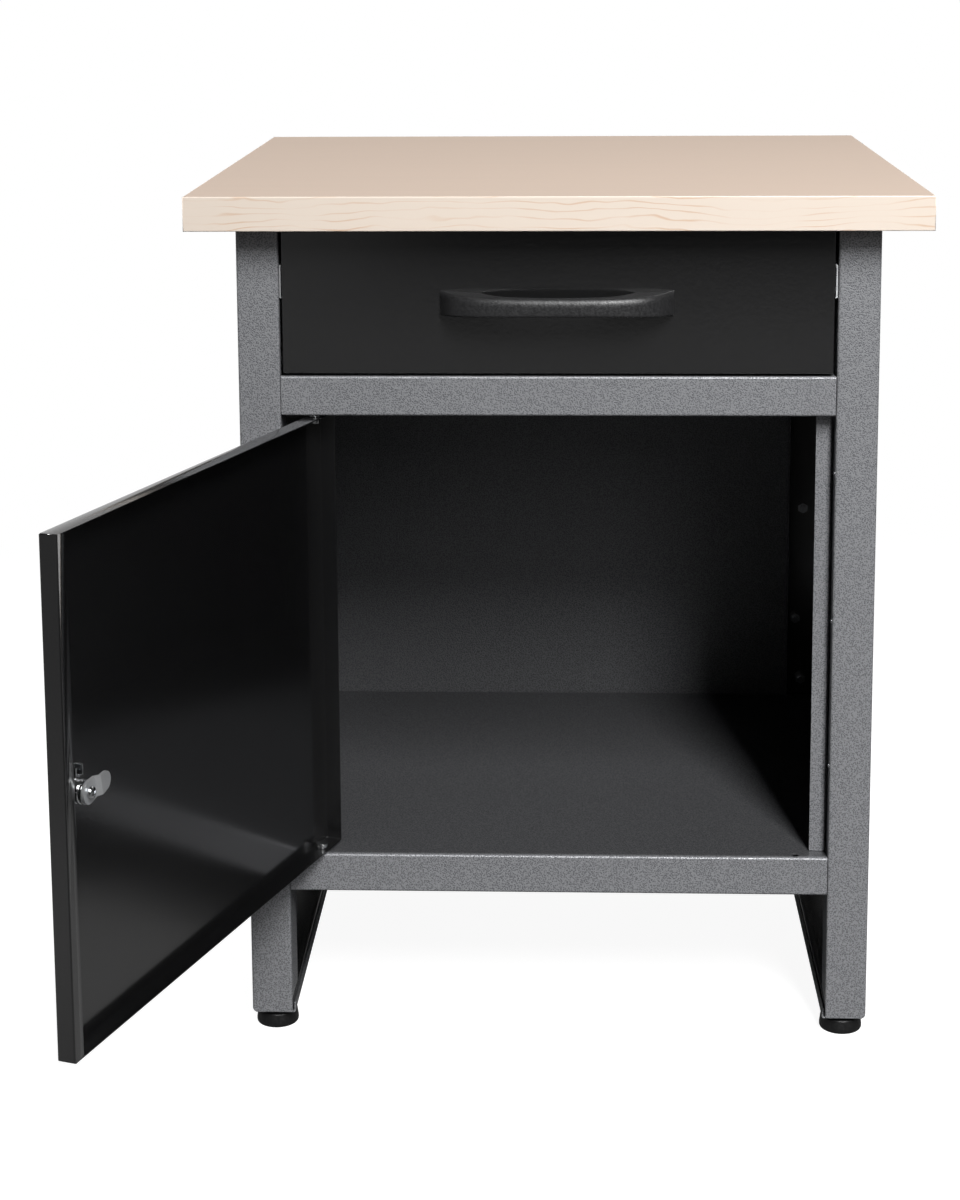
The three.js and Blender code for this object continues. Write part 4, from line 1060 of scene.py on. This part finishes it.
class WORKBENCH_OT_stage(bpy.types.Operator):
    """Set up the pale floor, the soft lamps and the camera"""

    bl_idname = "workbench.stage"
    bl_label = "Stage"

    def execute(self, context):
        scene = context.scene
        low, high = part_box("worktop_board")
        bench = Vector(((low.x + high.x) / 2, (low.y + high.y) / 2, 0))
        scene.view_settings.view_transform = "Standard"

        camera = bpy.data.cameras.new("camera")
        camera.sensor_width = 36
        camera.lens = CAMERA_LENS
        camera.shift_x, camera.shift_y = CAMERA_SHIFT
        eye = bpy.data.objects.new("camera", camera)
        scene.collection.objects.link(eye)
        turn = Matrix.Rotation(math.radians(CAMERA_YAW), 4, "Z")
        tilt = Matrix.Rotation(math.radians(90 - CAMERA_PITCH), 4, "X")
        roll = Matrix.Rotation(math.radians(CAMERA_ROLL), 4, "Z")
        place = Matrix.Translation(bench + Vector(CAMERA_PLACE) * MM)
        eye.matrix_world = place @ turn @ tilt @ roll
        scene.camera = eye

        self.floor(scene)
        self.world(scene)
        lamps = (
            ("key_lamp", (1.05, -3.40, 3.65), (0.45, -0.27, 0.55), (0.85, 2.4), 51.0, 70),
            ("fill_lamp", (0.9, -3.00, 1.55), (0.0, -0.27, 0.40), (0.7, 0.6), 5.0, 180),
            ("left_lamp", (-2.2, 0.4, 2.2), (0.0, 0.0, 0.4), (1.2, 1.2), 21.0, 180),
            ("rear_lamp", (2.0, 2.2, 1.8), (0.0, 0.2, 0.4), (1.4, 1.4), 8.0, 180),
            ("back_lamp", (-2.0, 2.1, 0.9), (0.0, 0.2, 0.36), (2.2, 1.6), 8.0, 180),
        )
        for name, spot, aim, size, power, spread in lamps:
            lamp = bpy.data.lights.new(name, "AREA")
            lamp.shape = "RECTANGLE"
            lamp.size, lamp.size_y = size
            lamp.energy = power
            lamp.spread = math.radians(spread)
            holder = bpy.data.objects.new(name, lamp)
            scene.collection.objects.link(holder)
            start, stop = bench + Vector(spot), bench + Vector(aim)
            holder.matrix_world = (
                Matrix.Translation(start) @ (stop - start).to_track_quat("-Z", "Y").to_matrix().to_4x4()
            )
        return {"FINISHED"}

    def floor(self, scene):
        """A pale floor that is white to the eye and keeps the bench's soft shadow; glossy rays see
        painted reflection zones on it and a tone with painted shade.
        """
        shape = bmesh.new()
        bmesh.ops.create_grid(shape, x_segments=1, y_segments=1, size=12.0)
        mesh = bpy.data.meshes.new("floor")
        shape.to_mesh(mesh)
        shape.free()
        material, tree, place = new_material("pale_studio_floor_painted")
        path = add_node(tree, "ShaderNodeLightPath")
        parted = add_node(tree, "ShaderNodeSeparateXYZ", {0: place}).outputs
        depth = parted["Y"]
        # Painted reflections: glossy rays see the floor glow white behind the bench, faintly to its left and in a
        # band in front.
        behind = add_node(
            tree,
            "ShaderNodeMapRange",
            {"Value": depth, "From Min": 2.0, "From Max": 4.0},
            interpolation_type="SMOOTHSTEP",
        ).outputs[0]
        aside = add_node(
            tree,
            "ShaderNodeMapRange",
            {"Value": parted["X"], "From Min": -0.45, "From Max": -0.75, "To Max": 0.16},
        ).outputs[0]
        onset = add_node(
            tree,
            "ShaderNodeMapRange",
            {"Value": depth, "From Min": -2.2, "From Max": -3.2, "To Max": 0.26},
        ).outputs[0]
        limit = add_node(
            tree,
            "ShaderNodeMapRange",
            {"Value": depth, "From Min": -4.8, "From Max": -3.6, "To Max": 0.26},
        ).outputs[0]
        before = add_node(tree, "ShaderNodeMath", {0: onset, 1: limit}, operation="MINIMUM").outputs[0]
        beside = add_node(tree, "ShaderNodeMath", {0: before, 1: aside}, operation="MAXIMUM").outputs[0]
        painted_reflection_zones = add_node(tree, "ShaderNodeMath", {0: behind, 1: beside}, operation="MAXIMUM").outputs[0]
        mirrored = add_node(
            tree, "ShaderNodeMath", {0: path.outputs["Is Glossy Ray"], 1: painted_reflection_zones}, operation="MULTIPLY"
        ).outputs[0]
        through = add_node(
            tree,
            "ShaderNodeMath",
            {0: path.outputs["Is Camera Ray"], 1: path.outputs["Is Transmission Ray"]},
            operation="MAXIMUM",
        ).outputs[0]
        seen = add_node(tree, "ShaderNodeMath", {0: through, 1: mirrored}, operation="MAXIMUM").outputs[0]
        # Painted shade: the floor's tone for bounce light and reflections is dark far in front and dims again under
        # the bench.
        painted_shade_far_front = add_node(
            tree,
            "ShaderNodeMapRange",
            {"Value": depth, "From Min": -1.5, "From Max": -0.5, "To Min": 0.03, "To Max": 0.22},
        ).outputs[0]
        painted_shade_under_bench = add_node(
            tree,
            "ShaderNodeMapRange",
            {"Value": depth, "From Min": -0.05, "From Max": 0.2, "To Min": 0.22, "To Max": 0.08},
        ).outputs[0]
        painted_floor_shade = add_node(tree, "ShaderNodeMath", {0: painted_shade_far_front, 1: painted_shade_under_bench}, operation="MINIMUM").outputs[0]
        matt = add_node(tree, "ShaderNodeBsdfDiffuse", {"Color": painted_floor_shade})
        faint = add_node(tree, "ShaderNodeBsdfDiffuse", {"Color": (0.3, 0.3, 0.3, 1)})
        glow = add_node(tree, "ShaderNodeEmission", {"Strength": 0.93})
        near = add_node(tree, "ShaderNodeAddShader", {0: faint.outputs[0], 1: glow.outputs[0]})
        white = add_node(tree, "ShaderNodeEmission", {"Strength": 1.0})
        away = add_node(tree, "ShaderNodeVectorMath", {0: place}, operation="LENGTH").outputs["Value"]
        far = add_node(
            tree,
            "ShaderNodeMapRange",
            {"Value": away, "From Min": 0.7, "From Max": 1.8},
            interpolation_type="SMOOTHSTEP",
        ).outputs[0]
        shown = add_node(tree, "ShaderNodeMixShader", {0: far, 1: near.outputs[0], 2: white.outputs[0]})
        mixed = add_node(tree, "ShaderNodeMixShader", {0: seen, 1: matt.outputs[0], 2: shown.outputs[0]})
        add_node(tree, "ShaderNodeOutputMaterial", {"Surface": mixed.outputs[0]})
        mesh.materials.append(material)
        floor = bpy.data.objects.new("floor", mesh)
        scene.collection.objects.link(floor)

    def world(self, scene):
        """White behind the bench and in its reflections, with an even soft light from all round."""
        world = bpy.data.worlds.new("studio")
        world.use_nodes = True
        tree = world.node_tree
        tree.nodes.clear()
        path = add_node(tree, "ShaderNodeLightPath")
        through = add_node(
            tree,
            "ShaderNodeMath",
            {0: path.outputs["Is Camera Ray"], 1: path.outputs["Is Transmission Ray"]},
            operation="MAXIMUM",
        ).outputs[0]
        direction = add_node(tree, "ShaderNodeTexCoord").outputs["Generated"]
        depth = add_node(tree, "ShaderNodeSeparateXYZ", {0: direction}).outputs["Y"]
        behind = add_node(
            tree,
            "ShaderNodeMapRange",
            {"Value": depth, "From Min": 0.3, "From Max": 0.8, "To Min": 0.04, "To Max": 1.0},
            interpolation_type="SMOOTHSTEP",
        ).outputs[0]
        mirrored = add_node(
            tree, "ShaderNodeMath", {0: path.outputs["Is Glossy Ray"], 1: behind}, operation="MULTIPLY"
        ).outputs[0]
        seen = add_node(tree, "ShaderNodeMath", {0: through, 1: mirrored}, operation="MAXIMUM").outputs[0]
        strength = add_node(tree, "ShaderNodeMath", {0: seen, 1: 0.03}, operation="MAXIMUM").outputs[0]
        light = add_node(tree, "ShaderNodeBackground", {"Color": (1, 1, 1, 1), "Strength": strength})
        add_node(tree, "ShaderNodeOutputWorld", {"Surface": light.outputs[0]})
        scene.world = world


STEPS = (
    WORKBENCH_OT_worktop,
    WORKBENCH_OT_frame,
    WORKBENCH_OT_feet,
    WORKBENCH_OT_drawer,
    WORKBENCH_OT_handle,
    WORKBENCH_OT_door,
    WORKBENCH_OT_lock,
    WORKBENCH_OT_stage,
)


class WORKBENCH_PT_panel(bpy.types.Panel):
    """Lists the workbench's settings and steps"""

    bl_idname = "WORKBENCH_PT_panel"
    bl_label = "Workbench"
    bl_space_type = "VIEW_3D"
    bl_region_type = "UI"
    bl_category = "Workbench"

    def draw(self, context):
        settings = context.scene.workbench
        for group in (settings.colours, settings.sizes):
            column = self.layout.column()
            for name in group.__annotations__:
                column.prop(group, name)
        for step in STEPS:
            self.layout.operator(step.bl_idname)


CLASSES = (WorkbenchColours, WorkbenchSizes, WorkbenchSettings, *STEPS, WORKBENCH_PT_panel)


def register():
    for made in CLASSES:
        bpy.utils.register_class(made)
    bpy.types.Scene.workbench = PointerProperty(type=WorkbenchSettings)


def unregister():
    del bpy.types.Scene.workbench
    for made in reversed(CLASSES):
        bpy.utils.unregister_class(made)


def main():
    register()
    bpy.ops.workbench.worktop()
    bpy.ops.workbench.frame()
    bpy.ops.workbench.feet()
    bpy.ops.workbench.drawer()
    bpy.ops.workbench.handle()
    bpy.ops.workbench.door()
    bpy.ops.workbench.lock()
    bpy.ops.workbench.stage()


if __name__ == "__main__":
    main()
